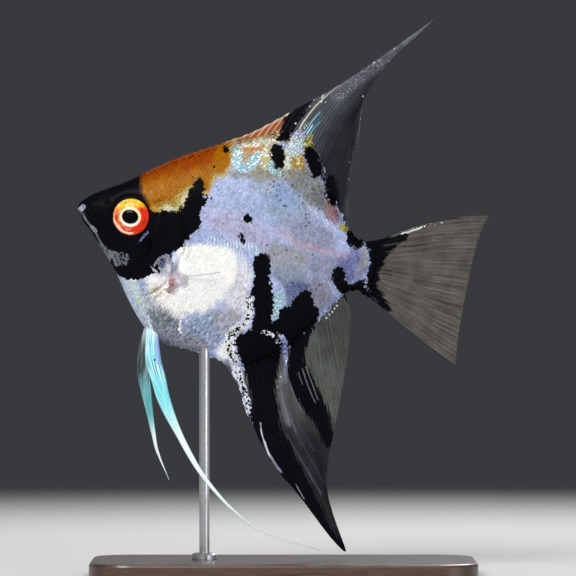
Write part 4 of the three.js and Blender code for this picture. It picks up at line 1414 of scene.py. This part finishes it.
def store_unwrap(mesh, places):
    """Gives the corners of the faces their vertices' places on the unwrap."""
    corners = np.empty(len(mesh.loops), np.int32)
    mesh.loops.foreach_get("vertex_index", corners)
    uv = places[corners].astype(np.float32)
    mesh.uv_layers.new(name="OFBake").data.foreach_set("uv", uv.ravel())


def scale_coat(context, name, roots, normals, tails, unwrap, length, finish):
    """One joined piece of scales: each lies on its root, free edge along its tail, and keeps one tint."""
    coat = context.scene.fish_coat
    tails = unit(tails - normals * (tails * normals).sum(1, keepdims=True))
    seen = fish_values(roots + tails * length[0] * 0.72)
    widths = length[1] / np.clip(np.abs(normals[:, 1]), 0.45, 1)
    thickness = coat.scale_thickness / MM * (1 - 0.65 * ramp(-0.5, 1.5, seen["nape"]))
    sizes = np.stack([np.full(len(roots), length[0]), widths, thickness], -1)
    points = seat_points(name + ".seats", roots, tails, normals, sizes)
    corners, faces = scale_shape()
    shape_mesh = new_mesh("one_scale", corners, faces)
    shape_mesh.shade_smooth()
    shape = new_object("one_scale", shape_mesh)
    tree = ready("Scales on points", coat_tree)
    inputs = {"Scale": shape, "Lift": coat.lift, "Unevenness": 0.07, "Seed": coat.seed, "Finish": finish}
    mesh = plain_mesh(points, tree, inputs, name)
    bpy.data.objects.remove(shape)
    bpy.data.meshes.remove(shape_mesh)

    owner, corner = np.divmod(np.arange(len(mesh.vertices)), len(corners))
    own = corners[corner]
    flat = np.empty(len(mesh.vertices) * 3, np.float32)
    mesh.vertices.foreach_get("co", flat)
    by_place = fish_values(unplaced(flat.reshape(-1, 3)))
    values = {}
    for key, by_scale in seen.items():
        share = OWN_SHARES.get(key, 0.6)
        values[key] = share * by_scale[owner] + (1 - share) * by_place[key]
    values["luck"] = np.random.default_rng(coat.seed).random(len(roots))[owner]
    from_middle = np.hypot((own[:, 0] - 0.45) / 0.55, own[:, 1] / 0.5)
    values["rim"] = ramp(0.55, 1, from_middle) * ramp(0.1, 0.6, own[:, 0])
    for value in ("turn", "size"):
        mesh.attributes.remove(mesh.attributes[value])
    store(mesh, values)
    store_unwrap(mesh, unwrap[owner] + UV_PATCH * (own[:, :2] - (0.5, 0)))
    finish_piece(mesh, "skin")


def tailward(roots):
    """Which way the flank's scales point: to the tail, closing in on its root."""
    ones = np.ones(len(roots))
    return np.stack([ones, 0 * ones, -0.35 * roots[:, 2] / np.maximum(88.0 - roots[:, 0], 8)], -1)


def skin_unwrap(faces):
    """Places of skin faces on the skin's own unwrap: along the body, and round it from the back."""
    return np.stack([(faces // ROUND + 0.5) / STATIONS, (faces % ROUND + 0.5) / ROUND], -1)


class FISH_OT_scales(Operator):
    """Overlapping scales over the flanks, the nape and the cheeks"""

    bl_idname = "fish.scales"
    bl_label = "Scales"

    def execute(self, context):
        coat = context.scene.fish_coat
        vertices, faces = skin_mesh(context)
        tree = BVHTree.FromPolygons(vertices.tolist(), faces)
        finish = ready("Scales", flesh_material, coat, 0.75, 1, 0.00003)
        head_edge = np.array(BACK_OF_HEAD)
        for place, low, high, pitch, row_pitch in (
            ("flank", (17, -34), (81, 32), coat.scale_pitch / MM, coat.row_pitch / MM),
            ("cheek", (10, -25), (33, 24), coat.cheek_pitch / MM, coat.cheek_row_pitch / MM),
        ):
            x, z = staggered(low, high, pitch, row_pitch)
            back_of_head = np.interp(z, head_edge[:, 0], head_edge[:, 1])
            if place == "flank":
                wanted = x > back_of_head - 0.6
            else:
                wanted = (x < back_of_head + 0.7) & (outline_depth(x, z, SCALY_HEAD) > 0)
                wanted &= np.hypot(x - EYE["x"], z - EYE["z"]) > 6.4
            wanted &= outline_depth(x, z, SMOOTH_FOLD) < 0
            x, z = x[wanted], z[wanted]
            for side, side_name in SIDES:
                _, roots, normals, hit = seats(tree, x, z, side)
                kept = (np.abs(normals[:, 1]) > 0.22) & (hit < STATIONS * ROUND - ROUND)
                size = (1.42 * pitch, 2.35 * row_pitch)
                for part, here in (("", roots[:, 0] < REAR_FLANK), ("rear_", roots[:, 0] >= REAR_FLANK)):
                    chosen = kept & here
                    if chosen.any():
                        name = f"{part}{place}_scales_{side_name}"
                        at, unwrap = roots[chosen], skin_unwrap(hit[chosen])
                        scale_coat(context, name, at, normals[chosen], tailward(at), unwrap, size, finish)
        for name in SHEATHS:
            self.sheath(context, name, finish)
        return {"FINISHED"}

    def sheath(self, context, name, finish):
        """Small scales that run from the flank up onto the base of a fin, along its rays."""
        coat = context.scene.fish_coat
        vertices, faces, grid = planned_fin(name, context.scene.fish_fins)
        fin, rows, flow = FIN_PLANS[name][0], FIN_PLANS[name][3], SHEATHS[name][2]
        bases = np.array(fin["rays"])[:, :2]
        pitch, row_pitch = coat.cheek_pitch / MM, coat.cheek_row_pitch / MM
        u, v = staggered((-40, -40), (40, 40), pitch, row_pitch)
        c, s = math.cos(flow), math.sin(flow)
        x, z = bases[:, 0].mean() + u * c - v * s, bases[:, 1].mean() + u * s + v * c
        fleck = markings(x, z, np.ones(len(x), bool))["fleck"]
        wanted = (run_distance(x, z, bases) < 7) | (fleck > 0.2)
        x, z = x[wanted], z[wanted]
        tree = BVHTree.FromPolygons(vertices.tolist(), faces)
        side_faces = (len(vertices) // 2 // rows - 1) * (rows - 1)
        rng = np.random.default_rng(coat.seed)
        for side, side_name in SIDES:
            found, roots, normals, hit = seats(tree, x, z, side)
            column, row = hit % side_faces // (rows - 1), hit % (rows - 1)
            corner = column * rows + row + (len(vertices) // 2 if side > 0 else 0)
            reach, height = grid["reach"][corner], sheath_height(name, grid["phase"][corner])
            flecked = fleck[wanted][found] > 0.35
            height = np.maximum(height * rng.uniform(0.7, 1.1, len(hit)), 30.0 * flecked)
            kept = (hit < 2 * side_faces) & (reach < height)
            kept &= (grid["climb"][corner] < 0.97) & (grid["phase"][corner] > 1)
            tails = vertices[corner + 1] - vertices[corner]
            unwrap = np.stack([column * rows / len(vertices) * 2, (row + 0.5) / rows], -1)
            size = (1.5 * pitch, 2.4 * row_pitch)
            part = f"{name}_sheath_scales_{side_name}"
            scale_coat(context, part, roots[kept], normals[kept], tails[kept], unwrap[kept], size, finish)


# ---- Eyes ----
class FISH_OT_eyes(Operator):
    """Both eyeballs, with a raised pupil"""

    bl_idname = "fish.eyes"
    bl_label = "Eyes"

    def execute(self, context):
        finish = ready("Eye", eye_material, context.scene.fish_eyes)
        iris = context.scene.fish_eyes.iris_radius / MM
        rings, segments = 60, 96
        fall = math.pi * np.arange(1, rings) / rings
        turn = math.tau * np.arange(segments) / segments
        fall, turn = np.meshgrid(fall, turn, indexing="ij")
        ball = np.stack([np.sin(fall) * np.cos(turn), np.cos(fall), np.sin(fall) * np.sin(turn)], -1)
        for side, name in SIDES:
            unit, faces = capped_grid(ball)
            unit[-2:] = ((0, 1, 0), (0, -1, 0))
            flat = unit * EYE["radius"]
            from_middle = np.hypot(flat[:, 0] / 2.15, flat[:, 2] / 1.8)
            bulge = 1 + 0.07 * ramp(1.25, 0.7, from_middle) - 0.035 * ridge(from_middle - 1.5, 0.4)
            lens = np.stack([flat[:, 0], unit[:, 1] * EYE["depth"] * bulge, flat[:, 2]], -1)
            c, s = math.cos(side * EYE["turn"]), math.sin(side * EYE["turn"])
            x, y = lens[:, 0] * c - lens[:, 1] * s, lens[:, 0] * s + lens[:, 1] * c
            vertices = np.stack([EYE["x"] + x, side * EYE["y"] + y, EYE["z"] + lens[:, 2]], -1)
            values = {"iris_along": flat[:, 0] / iris, "iris_up": flat[:, 2] / iris}
            add_piece("eyeball_" + name, vertices, faces, finish, values, "eye", "eye_" + name)
        return {"FINISHED"}


# ---- Fins ----
BASE_DOTS = ((71.6, -15.7), (72.2, -14.6), (72.8, -13.8), (73.2, -12.8), (73.7, -11.9))
# Coloured streaks and patches on the fins: a line, its width, colour and strength.
FIN_WASHES = {
    "dorsal": (
        (
            (
                (53.9, 30.6), (54.4, 33.6), (55.5, 36.4), (56.8, 39.1), (58.5, 41.7), (60.6, 44.6),
                (62.4, 46.6),
            ),
            0.3, (0.66, 0.66, 0.44), 0.85,
        ),
        (((54.6, 29.6), (55.8, 32.2), (57.2, 35.8), (58.6, 38.3)), 0.22, (0.22, 0.66, 0.84), 0.9),
        (((55.4, 29.6), (56.4, 32), (57.4, 34.4)), 0.26, (0.62, 0.86, 0.92), 0.9),
        (((56.2, 30), (57.6, 33), (59.2, 35.8)), 0.2, (0.1, 0.46, 0.66), 0.85),
        (((56.9, 29), (57.6, 31.6), (57.2, 29.2)), 0.8, (0.34, 0.3, 0.03), 0.8),
        (((58.4, 42.2), (58.8, 44.2), (60.1, 45.9), (61.8, 46.8)), 0.3, (0.72, 0.74, 0.76), 0.7),
        (((35.8, 25.9), (40.9, 30.4), (45.6, 34.4), (48.9, 38.2)), 0.4, (0.66, 0.42, 0.3), 0.5),
        (((50, 35.6), (51.4, 38.4), (53.2, 40.4)), 0.3, (0.66, 0.6, 0.6), 0.75),
        (((60, 46.2), (65.6, 52), (72, 58.4)), 0.4, (0.17, 0.18, 0.2), 0.7),
        (((62, 44.4), (67.4, 50.6), (73.6, 57.2)), 3.2, (0.15, 0.15, 0.19), 0.65),
        (((69.5, 42.4), (69.9, 36.4), (70.5, 29.6)), 0.3, (0.17, 0.175, 0.18), 0.7),
    ),
    "anal": (
        (((60, -47), (60.8, -49.6), (62.2, -52.1)), 0.22, (0.7, 0.72, 0.78), 0.95),
        (((61.9, -51.6), (63.2, -53.8), (64.5, -55.6)), 0.42, (0.62, 0.63, 0.72), 0.95),
        (((64.6, -55.4), (66, -57), (68, -58.8)), 0.5, (0.24, 0.23, 0.34), 0.9),
        (((67.5, -48.6), (72.5, -54.3), (80.1, -62.7)), 0.4, (0.07, 0.07, 0.1), 0.7),
        (((68.9, -46.8), (74.6, -53.2), (80.9, -60.4)), 0.3, (0.055, 0.055, 0.075), 0.6),
        (((70.6, -45.8), (75.8, -51.6)), 0.25, (0.08, 0.08, 0.1), 0.6),
        (((61.9, -25.2), (62.7, -27.4), (63.1, -28.8)), 1, (0.24, 0.27, 0.5), 0.9),
        (((63, -28.4), (63.5, -30.8), (63.9, -33)), 0.7, (0.22, 0.26, 0.46), 0.8),
        (((63.6, -33), (64, -36.4), (65.4, -41), (67.6, -45.4)), 1.5, (0.19, 0.195, 0.225), 0.75),
        (((64.6, -36), (66.6, -40.6), (69.6, -46.4), (72, -50)), 1.5, (0.06, 0.06, 0.072), 0.6),
        (((68.9, -29.8), (71.5, -33.9), (73.9, -37.8)), 0.22, (0.16, 0.17, 0.18), 0.9),
        (((68, -30.4), (70.6, -34.8), (73.3, -38.7)), 0.22, (0.16, 0.17, 0.18), 0.9),
        (((67.2, -31.6), (69, -34.6)), 0.22, (0.16, 0.17, 0.18), 0.8),
        (((65.6, -35.2), (68.5, -39.5), (70.4, -41.9)), 0.25, (0.14, 0.15, 0.18), 0.9),
        (((66, -42.3), (68.3, -45.1), (69.9, -47.5)), 0.25, (0.13, 0.13, 0.17), 0.9),
        (((72.8, -61.5), (75.7, -64.8)), 0.22, (0.4, 0.42, 0.5), 0.6),
        (((79.7, -69.5), (82.7, -73.3)), 0.22, (0.4, 0.42, 0.48), 0.5),
        *((((x, z), (x + 0.1, z)), 0.34, (0.86, 0.86, 0.82), 0.95) for x, z in BASE_DOTS),
    ),
    "tail": (
        (
            ((86.9, 10.6), (87.8, 11.2), (88.6, 11.4), (89.6, 12.2), (90.6, 12.6), (91.8, 13.5)),
            0.3, (0.92, 0.93, 0.96), 0.9,
        ),
        (
            ((82.4, 8.9), (85.4, 10.9), (89.2, 13.1), (94.4, 15.6), (101, 18.2)),
            0.5, (0.03, 0.03, 0.034), 0.85,
        ),
        (((87.4, 7.2), (90.3, 8), (94.4, 9.4)), 0.25, (0.012, 0.012, 0.015), 0.8),
        (((83.1, 0.2), (86.4, 0.3)), 0.22, (0.012, 0.012, 0.015), 0.8),
        (((84.1, -0.7), (86.6, -0.7)), 0.22, (0.012, 0.012, 0.015), 0.8),
        (((82.6, 6.4), (90, 9.6), (98, 13)), 0.3, (0.035, 0.033, 0.032), 0.6),
    ),
    "pectoral": ((((29.5, -13.5), (32.4, -12.5), (36.5, -11.2), (41, -9.5)), 0.3, (0.24, 0.2, 0.2), 0.5),),
}
# Runs of white sparks on the fins, with their width and strength.
FIN_SPARKS = {
    "dorsal": (
        (((45, 27.4), (50, 30.2), (53.6, 31.2)), 0.8, 1),
        (((53.4, 28.6), (54.6, 31.6), (56, 34.6)), 0.7, 1),
        (((57.2, 40.2), (60.4, 41.6)), 0.5, 1),
        (((62.4, 43.6), (67.4, 49.8), (71.4, 54.6)), 2, 0.34),
    ),
    "anal": (
        (((63.2, -28.4), (63.8, -31.4), (62.8, -34.2), (62.7, -35.9), (63.2, -38.8)), 0.5, 1),
        (((61.2, -25.6), (62.8, -27.6)), 0.6, 1),
        (((56.2, -44), (57.6, -47.6)), 0.5, 1),
        (((69.6, -16.8), (71, -14.8), (72.6, -12.4), (73.8, -10.6)), 0.55, 1),
    ),
    "tail": ((((87, 11), (91.4, 13.2), (94.3, 14.8), (98, 16.6)), 0.6, 1),),
}


def fin_place(fin, s, t):
    """Places on a fin's middle sheet: s runs over the fan of rays, and t up a ray."""
    rows = along(fin["rays"], s)
    root, tip, near, far = rows[..., 0:2], rows[..., 2:4], rows[..., 4:5], rows[..., 5:6]
    chord = tip - root
    off = np.stack([-chord[..., 1], chord[..., 0]], -1)
    first, second = root + chord / 3 + off * near, root + chord * 2 / 3 + off * far
    t = t[..., None]
    u = 1 - t
    return u**3 * root + 3 * u * u * t * first + 3 * u * t * t * second + t**3 * tip


def fin_sway(fin, s, t):
    """How far a fin's sheet sways to the side."""
    lean, wave, turns = fin["swing"]
    t = np.maximum(t, 0)
    return t * t * (lean * (s - 0.3) + wave * np.sin(turns * math.pi * s))


def ray_folds(grid):
    """Distance to the nearest ray in ray widths. Soft rays fork, and fork again, where there is room."""
    off = np.abs((grid["phase"] + 0.5) % 1.0 - 0.5)
    off = np.abs(off - 0.25 * grid["fork"] * ramp(0.25, 0.85, grid["climb"]))
    return np.abs(off - 0.125 * grid["refork"] * ramp(0.55, 1, grid["climb"]))


STEPS_PER_RAY = 8  # columns of vertices from one ray to the next


def fin_mesh(fin, spines, soft_rays, rows, notch, side, settings):
    """A closed fin: a thin web, thicker along its rays and at its fleshy root, with a notched rim."""
    total = spines + soft_rays
    phase = np.linspace(0, total, STEPS_PER_RAY * total + 1)
    s = np.interp(phase, (0, spines, total), (0, fin["soft"], 1)) if spines else phase / total
    climb = np.linspace(0, 1, rows)
    phase, climb = np.meshgrid(phase, climb, indexing="ij")
    s = np.broadcast_to(s[:, None], phase.shape)
    soft = ramp(spines - 0.75, spines + 0.25, phase) if spines else np.ones(phase.shape)
    between = 0.5 - 0.5 * np.cos(math.tau * phase)
    fork = 0.5 - 0.5 * np.cos(4 * math.tau * phase)
    tips, roots = (fin_place(fin, s, np.full(s.shape, end)) for end in (1.0, 0.0))
    lengths = np.linalg.norm(tips - roots, axis=-1)
    spine_notch = np.clip(notch[0] / lengths, 0, 0.3) * between
    soft_notch = np.clip(notch[1] / lengths, 0, 0.1) * (0.6 * fork + 0.4 * between)
    reach_share = 1 - (spine_notch * (1 - soft) + soft_notch * soft)
    root_in = -1.6 / np.maximum(lengths, 6)
    t = root_in + (reach_share - root_in) * climb
    flat = fin_place(fin, s, t)
    reach = np.maximum(t, 0) * lengths
    room = np.linalg.norm(np.gradient(fin_place(fin, s, climb), axis=0), axis=-1) * STEPS_PER_RAY
    shape = {
        "phase": phase,
        "climb": climb,
        "reach": reach,
        "fork": soft * ramp(0.8, 1.5, room),
        "refork": soft * ramp(2, 3, room),
        "clear": ramp(0.3, 0.9, room),
    }
    width = 0.15 - 0.075 * shape["fork"] * ramp(0.3, 1, climb)
    ray = ridge(ray_folds(shape), width) * shape["clear"]
    web, thick = settings.web_thickness / MM, settings.ray_thickness / MM
    flesh = 0.5 * ramp(3.4, -0.5, reach) * (1 - 0.3 * (1 - ray))
    half = web / 2 + ray * thick / 2 * (1 - 0.72 * climb) + flesh
    middle = side(s, t) + 0.11 * soft * np.sin(math.tau * phase) * ramp(0.05, 0.6, climb)
    walls = [np.stack([flat[..., 0], middle + way * half, flat[..., 1]], -1) for way in (-1, 1)]
    vertices = np.concatenate(walls).reshape(-1, 3)
    columns, count = len(phase), phase.size
    faces = grid_faces(columns, rows)
    faces += [face[::-1] for face in grid_faces(columns, rows, start=count)]
    rim = list(range(rows)) + [i * rows + rows - 1 for i in range(1, columns)]
    rim += [(columns - 1) * rows + j for j in range(rows - 2, -1, -1)]
    rim += [i * rows for i in range(columns - 2, 0, -1)]
    for a, b in zip(rim, rim[1:] + rim[:1]):
        faces.append([b, a, a + count, b + count])
    return vertices, faces, {name: np.tile(v.ravel(), 2) for name, v in shape.items()}


# Each unpaired fin, its spines and soft rays, vertices up a ray, notches between spines and between
# rays, and the solids that it stands for.
FIN_PLANS = {
    "dorsal": (DORSAL_FIN, 12, 25, 120, (0.35, 0.3), ("dorsal_fin_spines", "dorsal_fin_rays")),
    "anal": (ANAL_FIN, 7, 27, 120, (0.5, 0.3), ("anal_fin_spines", "anal_fin_rays")),
    "tail": (TAIL_FIN, 0, 17, 130, (0, 0.4), ("tail_fin",)),
}


def planned_fin(name, settings):
    fin, spines, soft, rows, notch, _ = FIN_PLANS[name]
    return fin_mesh(fin, spines, soft, rows, notch, lambda s, t: fin_sway(fin, s, t), settings)


# How much of what is behind each fin it covers, how pale its rays are, and its share of white dots.
FIN_LOOKS = {
    "dorsal": (0.74, 0.75, 1.0),
    "anal": (0.62, 0.22, 0.0),
    "tail": (0.6, 0.2, 0.0),
    "pectoral": (0.04, 0.5, 0.0),
}


def fin_values(vertices, grid, name, settings):
    """What colours a fin: its own web, darkened towards the anal fin's lower tip as painted shade, the
    flank's markings carried onto it, streaks, spines and sparks.
    """
    x, z = vertices[:, 0], vertices[:, 2]
    body = markings(x, z, np.ones(len(x), bool))
    cover, ray_light, glint = (np.full(len(x), look) for look in FIN_LOOKS[name])
    root = np.zeros(len(x))
    if name in SHEATHS:
        climbed = grid["reach"] / sheath_height(name, grid["phase"])
        root = np.maximum(ramp(1.1, 0.4, climbed), body["fleck"])
    wash = 0.95 * root
    web = np.broadcast_to(getattr(settings, name + "_web"), (len(x), 3))
    if name == "dorsal":
        middle = ramp(16, 25, grid["phase"]) * ramp(36.5, 33, grid["phase"])
        dim = 1 - 0.72 * middle * ramp(1, 0.7, grid["climb"]) + 0.25 * ramp(18, 13, grid["phase"])
        web = web * dim[:, None]
    if name == "anal":
        web = web * (1.12 - 0.3 * ramp(66, 74, x) * ramp(-31, -25, z))[:, None]
        # Painted shade: the anal fin's web goes darker towards its lower tip.
        web = laid_over(web, ramp(-38, -50, z), (0.022, 0.021, 0.028))
        web = laid_over(web, ramp(-52, -64, z), (0.02, 0.022, 0.024))
        cover = np.maximum(cover, 0.97 * ramp(-44, -56, z))
    tint = laid_over(web, root, body["tint"])
    if name == "dorsal":
        spine = ramp(8.8, 7.8, grid["phase"])
        fold = ridge(ray_folds(grid), 0.2)
        tint = laid_over(tint, spine * (1 - fold) * (1 - 0.5 * root), (0.24, 0.095, 0.045))
        tint = laid_over(tint, spine * fold, settings.spine)
        tint = laid_over(tint, spine * ramp(0.8, 1, grid["climb"]), (0.62, 0.44, 0.34))
        wash = np.maximum(wash, spine * (0.8 + 0.2 * fold))
        thread = ramp(72, 79, x)
        tint = laid_over(tint, thread, (0.16, 0.17, 0.18))
        cover = np.maximum(cover, 0.95 * thread)
        glint = glint * ramp(0.35, 0.5, grid["climb"]) * (1 - thread)
    streaks = np.zeros(len(x))
    for run, width, colour, strength in FIN_WASHES[name]:
        share = strength * near_run(x, z, run, width, 0.35)
        tint = laid_over(tint, share, colour)
        streaks = np.maximum(streaks, share)
    return grid | {
        "black": np.minimum(body["black"], 1.5 - 3.5 * streaks),
        "tint": tint,
        "wash": np.maximum(wash, 0.9 * streaks),
        "cover": cover,
        "ray_light": ray_light,
        "spark": strongest(x, z, FIN_SPARKS.get(name, ())),
        "glint": glint,
    }


class FISH_OT_fins(Operator):
    """Dorsal, anal, tail and pectoral fins, each a clear web over forked rays"""

    bl_idname = "fish.fins"
    bl_label = "Fins"

    def execute(self, context):
        settings = context.scene.fish_fins
        finish = ready("Fin", fin_material, settings)
        for name, plan in FIN_PLANS.items():
            vertices, faces, grid = planned_fin(name, settings)
            values = fin_values(vertices, grid, name, settings)
            add_piece(name + "_fin_web", vertices, faces, finish, values, "fin", *plan[-1])
        for side, name in SIDES:
            self.pectoral(settings, finish, side, name)
        return {"FINISHED"}

    def pectoral(self, settings, finish, side, name):
        def leaning(s, t):
            reach = fin_place(PECTORAL_FIN, s, t)[..., 0] - fin_place(PECTORAL_FIN, s, 0 * t)[..., 0]
            return side * (PECTORAL_FIN["side"] + PECTORAL_FIN["flare"] * reach)

        vertices, faces, grid = fin_mesh(PECTORAL_FIN, 0, 12, 90, (0, 0.4), leaning, settings)
        values = fin_values(vertices, grid, "pectoral", settings)
        base = 0.6 * ramp(2.2, 0.3, grid["reach"])
        values["tint"] = laid_over(values["tint"], base, (0.36, 0.08, 0.12))
        values["wash"] = np.maximum(values["wash"], base)
        values["black"] = np.full(len(vertices), OUTSIDE)
        solid = "pectoral_fin_" + name
        add_piece("pectoral_fin_web_" + name, vertices, faces, finish, values, "fin", solid)


class FISH_OT_pelvic_fins(Operator):
    """The two long pelvic fins, drawn out to threads"""

    bl_idname = "fish.pelvic_fins"
    bl_label = "Pelvic fins"

    def execute(self, context):
        finish = ready("Pelvic fin", pelvic_material, context.scene.fish_fins)
        for name, rows in PELVIC_FINS.items():
            stations, sides = 260, 56
            t = np.linspace(0, 1, stations)
            ribbon = along(rows, t)
            way = along(rows, t + 0.01) - along(rows, t - 0.01)
            across = unit(np.stack([way[:, 1], -way[:, 0]], -1))
            angle = math.tau * np.arange(sides) / sides
            c, s = np.cos(angle)[None, :], np.sin(angle)[None, :]
            far = float(name == "right")
            point = 1 - 0.8 * far * ramp(0.84, 1, t)[:, None]
            width, thickness = ribbon[:, 3:4] * 0.98 * point, ribbon[:, 4:5] * 0.96 * point
            broad = ramp(0.8, 2.6, width)
            ridged = 1 - 0.42 * broad * np.sin(math.pi * 4 * c) ** 2
            half = thickness / 2 * (0.78 - 0.25 * broad * np.abs(c)) * ridged
            x, z = (ribbon[:, k:k + 1] + across[:, k:k + 1] * c * width / 2 for k in (0, 1))
            y = ribbon[:, 2:3] + s * half
            vertices, faces = capped_grid(np.stack([x, y, z], -1))
            step = np.linalg.norm(np.diff(ribbon[:, :3], axis=0), axis=1)
            reach = np.concatenate([[0], np.cumsum(step)])
            values = {
                "across": np.append(np.broadcast_to(c, x.shape).ravel(), [0, 0]),
                "reach": np.append(np.repeat(reach, sides), [0, reach[-1]]),
                "far": np.full(len(vertices), far),
            }
            solid = "pelvic_fin_" + name
            add_piece("pelvic_fin_blade_" + name, vertices, faces, finish, values, "pelvic_fin", solid)
        return {"FINISHED"}


# ---- Stand and stage ----
class FISH_OT_stand(Operator):
    """Wood and steel of the display stand"""

    bl_idname = "fish.stand"
    bl_label = "Stand"

    def execute(self, context):
        stand = context.scene.fish_stand
        wood = ready("Stained hardwood", wood_material, stand)
        steel = ready("Satin steel", steel_material, stand)
        for name, finish, slot in (
            ("base", wood, "stand_wood"),
            ("rod", steel, "stand_metal"),
            ("collar", steel, "stand_metal"),
        ):
            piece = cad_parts["stand_" + name]
            piece.data.materials.clear()
            piece.data.materials.append(finish)
        return {"FINISHED"}


FISH_MIDDLE = Vector((0, 0, 0.078))


def floor_disc(stage):
    """A round pale floor that dissolves into the backdrop away from the stand."""
    material, tree, shader = new_material("Floor", stage.floor, Roughness=0.85)
    places = object_places(tree)
    tooth = noise(places, 900).fade(0.3, 0.7)
    away = wire(tree, "ShaderNodeVectorMath", {0: places}, 1, operation="LENGTH")
    give(
        shader,
        Base_Color=blend(tooth, [0.97 * c for c in stage.floor], stage.floor),
        Alpha=away.fade(0.35 * stage.floor_reach, stage.floor_reach, 1, 0),
    )
    corners = 96
    turn = math.tau * np.arange(corners) / corners
    ring = np.stack([np.cos(turn), np.sin(turn), 0 * turn], -1) * stage.floor_reach
    mesh = new_mesh("floor", ring, [list(range(corners))])
    mesh.materials.append(material)
    floor = new_object("floor", mesh)


def studio_world(stage):
    """Soft light from all round, with a darker grey seen behind the fish."""
    world = bpy.data.worlds.new("Studio")
    world.use_nodes = True
    tree = world.node_tree
    seen = wire(tree, "ShaderNodeLightPath", None, "Is Camera Ray")
    give(tree.nodes["Background"].inputs, Color=blend(seen, stage.ambience, stage.backdrop))
    return world


def area_light(name, place, size, power, colour):
    """A round soft light turned to the middle of the fish."""
    light = bpy.data.lights.new(name, "AREA")
    light.shape, light.size, light.energy, light.color = "DISK", size, power, colour
    lamp = new_object(name, light)
    lamp.location = place
    lamp.rotation_euler = (FISH_MIDDLE - Vector(place)).to_track_quat("-Z", "Y").to_euler()


class FISH_OT_stage(Operator):
    """Pale floor, soft backdrop, studio lights and the camera"""

    bl_idname = "fish.stage"
    bl_label = "Stage"

    def execute(self, context):
        stage = context.scene.fish_stage
        floor_disc(stage)
        area_light("key", (-0.36, -0.8, 0.66), 0.5, stage.key_power, (1, 0.985, 0.96))
        area_light("fill", (0.75, -0.6, 0.2), 0.55, stage.fill_power, (0.93, 0.96, 1))
        area_light("rim", (0.25, 0.6, 0.55), 0.4, stage.rim_power, (0.96, 0.98, 1))
        context.scene.world = studio_world(stage)
        context.scene.view_settings.view_transform = "Standard"
        camera = bpy.data.cameras.new("camera")
        camera.sensor_width = 36.0
        camera.lens = camera.sensor_width * stage.distance / stage.view_width
        camera.clip_start = 0.01
        eye = new_object("camera", camera)
        eye.location = (stage.aim_x, -stage.distance, stage.aim_z)
        eye.rotation_euler = (math.pi / 2, 0, 0)
        context.scene.camera = eye
        return {"FINISHED"}


# ---- Panel and running ----
class FISH_PT_panel(Panel):
    """Lists the fish's pieces and settings in the sidebar"""

    bl_idname = "FISH_PT_panel"
    bl_label = "Angelfish"
    bl_space_type = "VIEW_3D"
    bl_region_type = "UI"
    bl_category = "Angelfish"

    def draw(self, context):
        for name, _, operators in STEPS:
            box = self.layout.box()
            settings = getattr(context.scene, name)
            for setting in settings.__annotations__:
                box.prop(settings, setting)
            for operator in operators:
                box.operator(operator.bl_idname)


STEPS = (
    ("fish_coat", FishCoatSettings, (FISH_OT_skin, FISH_OT_scales)),
    ("fish_eyes", EyeSettings, (FISH_OT_eyes,)),
    ("fish_fins", FinSettings, (FISH_OT_fins, FISH_OT_pelvic_fins)),
    ("fish_stand", StandSettings, (FISH_OT_stand,)),
    ("fish_stage", StageSettings, (FISH_OT_stage,)),
)
CLASSES = [kind for _, settings, operators in STEPS for kind in (settings, *operators)]
CLASSES.append(FISH_PT_panel)


def register():
    for kind in CLASSES:
        bpy.utils.register_class(kind)
    for name, settings, _ in STEPS:
        setattr(bpy.types.Scene, name, PointerProperty(type=settings))


def unregister():
    for name, _, _ in STEPS:
        delattr(bpy.types.Scene, name)
    for kind in reversed(CLASSES):
        bpy.utils.unregister_class(kind)


def main():
    register()
    bpy.ops.fish.skin()
    bpy.ops.fish.scales()
    bpy.ops.fish.eyes()
    bpy.ops.fish.fins()
    bpy.ops.fish.pelvic_fins()
    bpy.ops.fish.stand()
    bpy.ops.fish.stage()


if __name__ == "__main__":
    main()
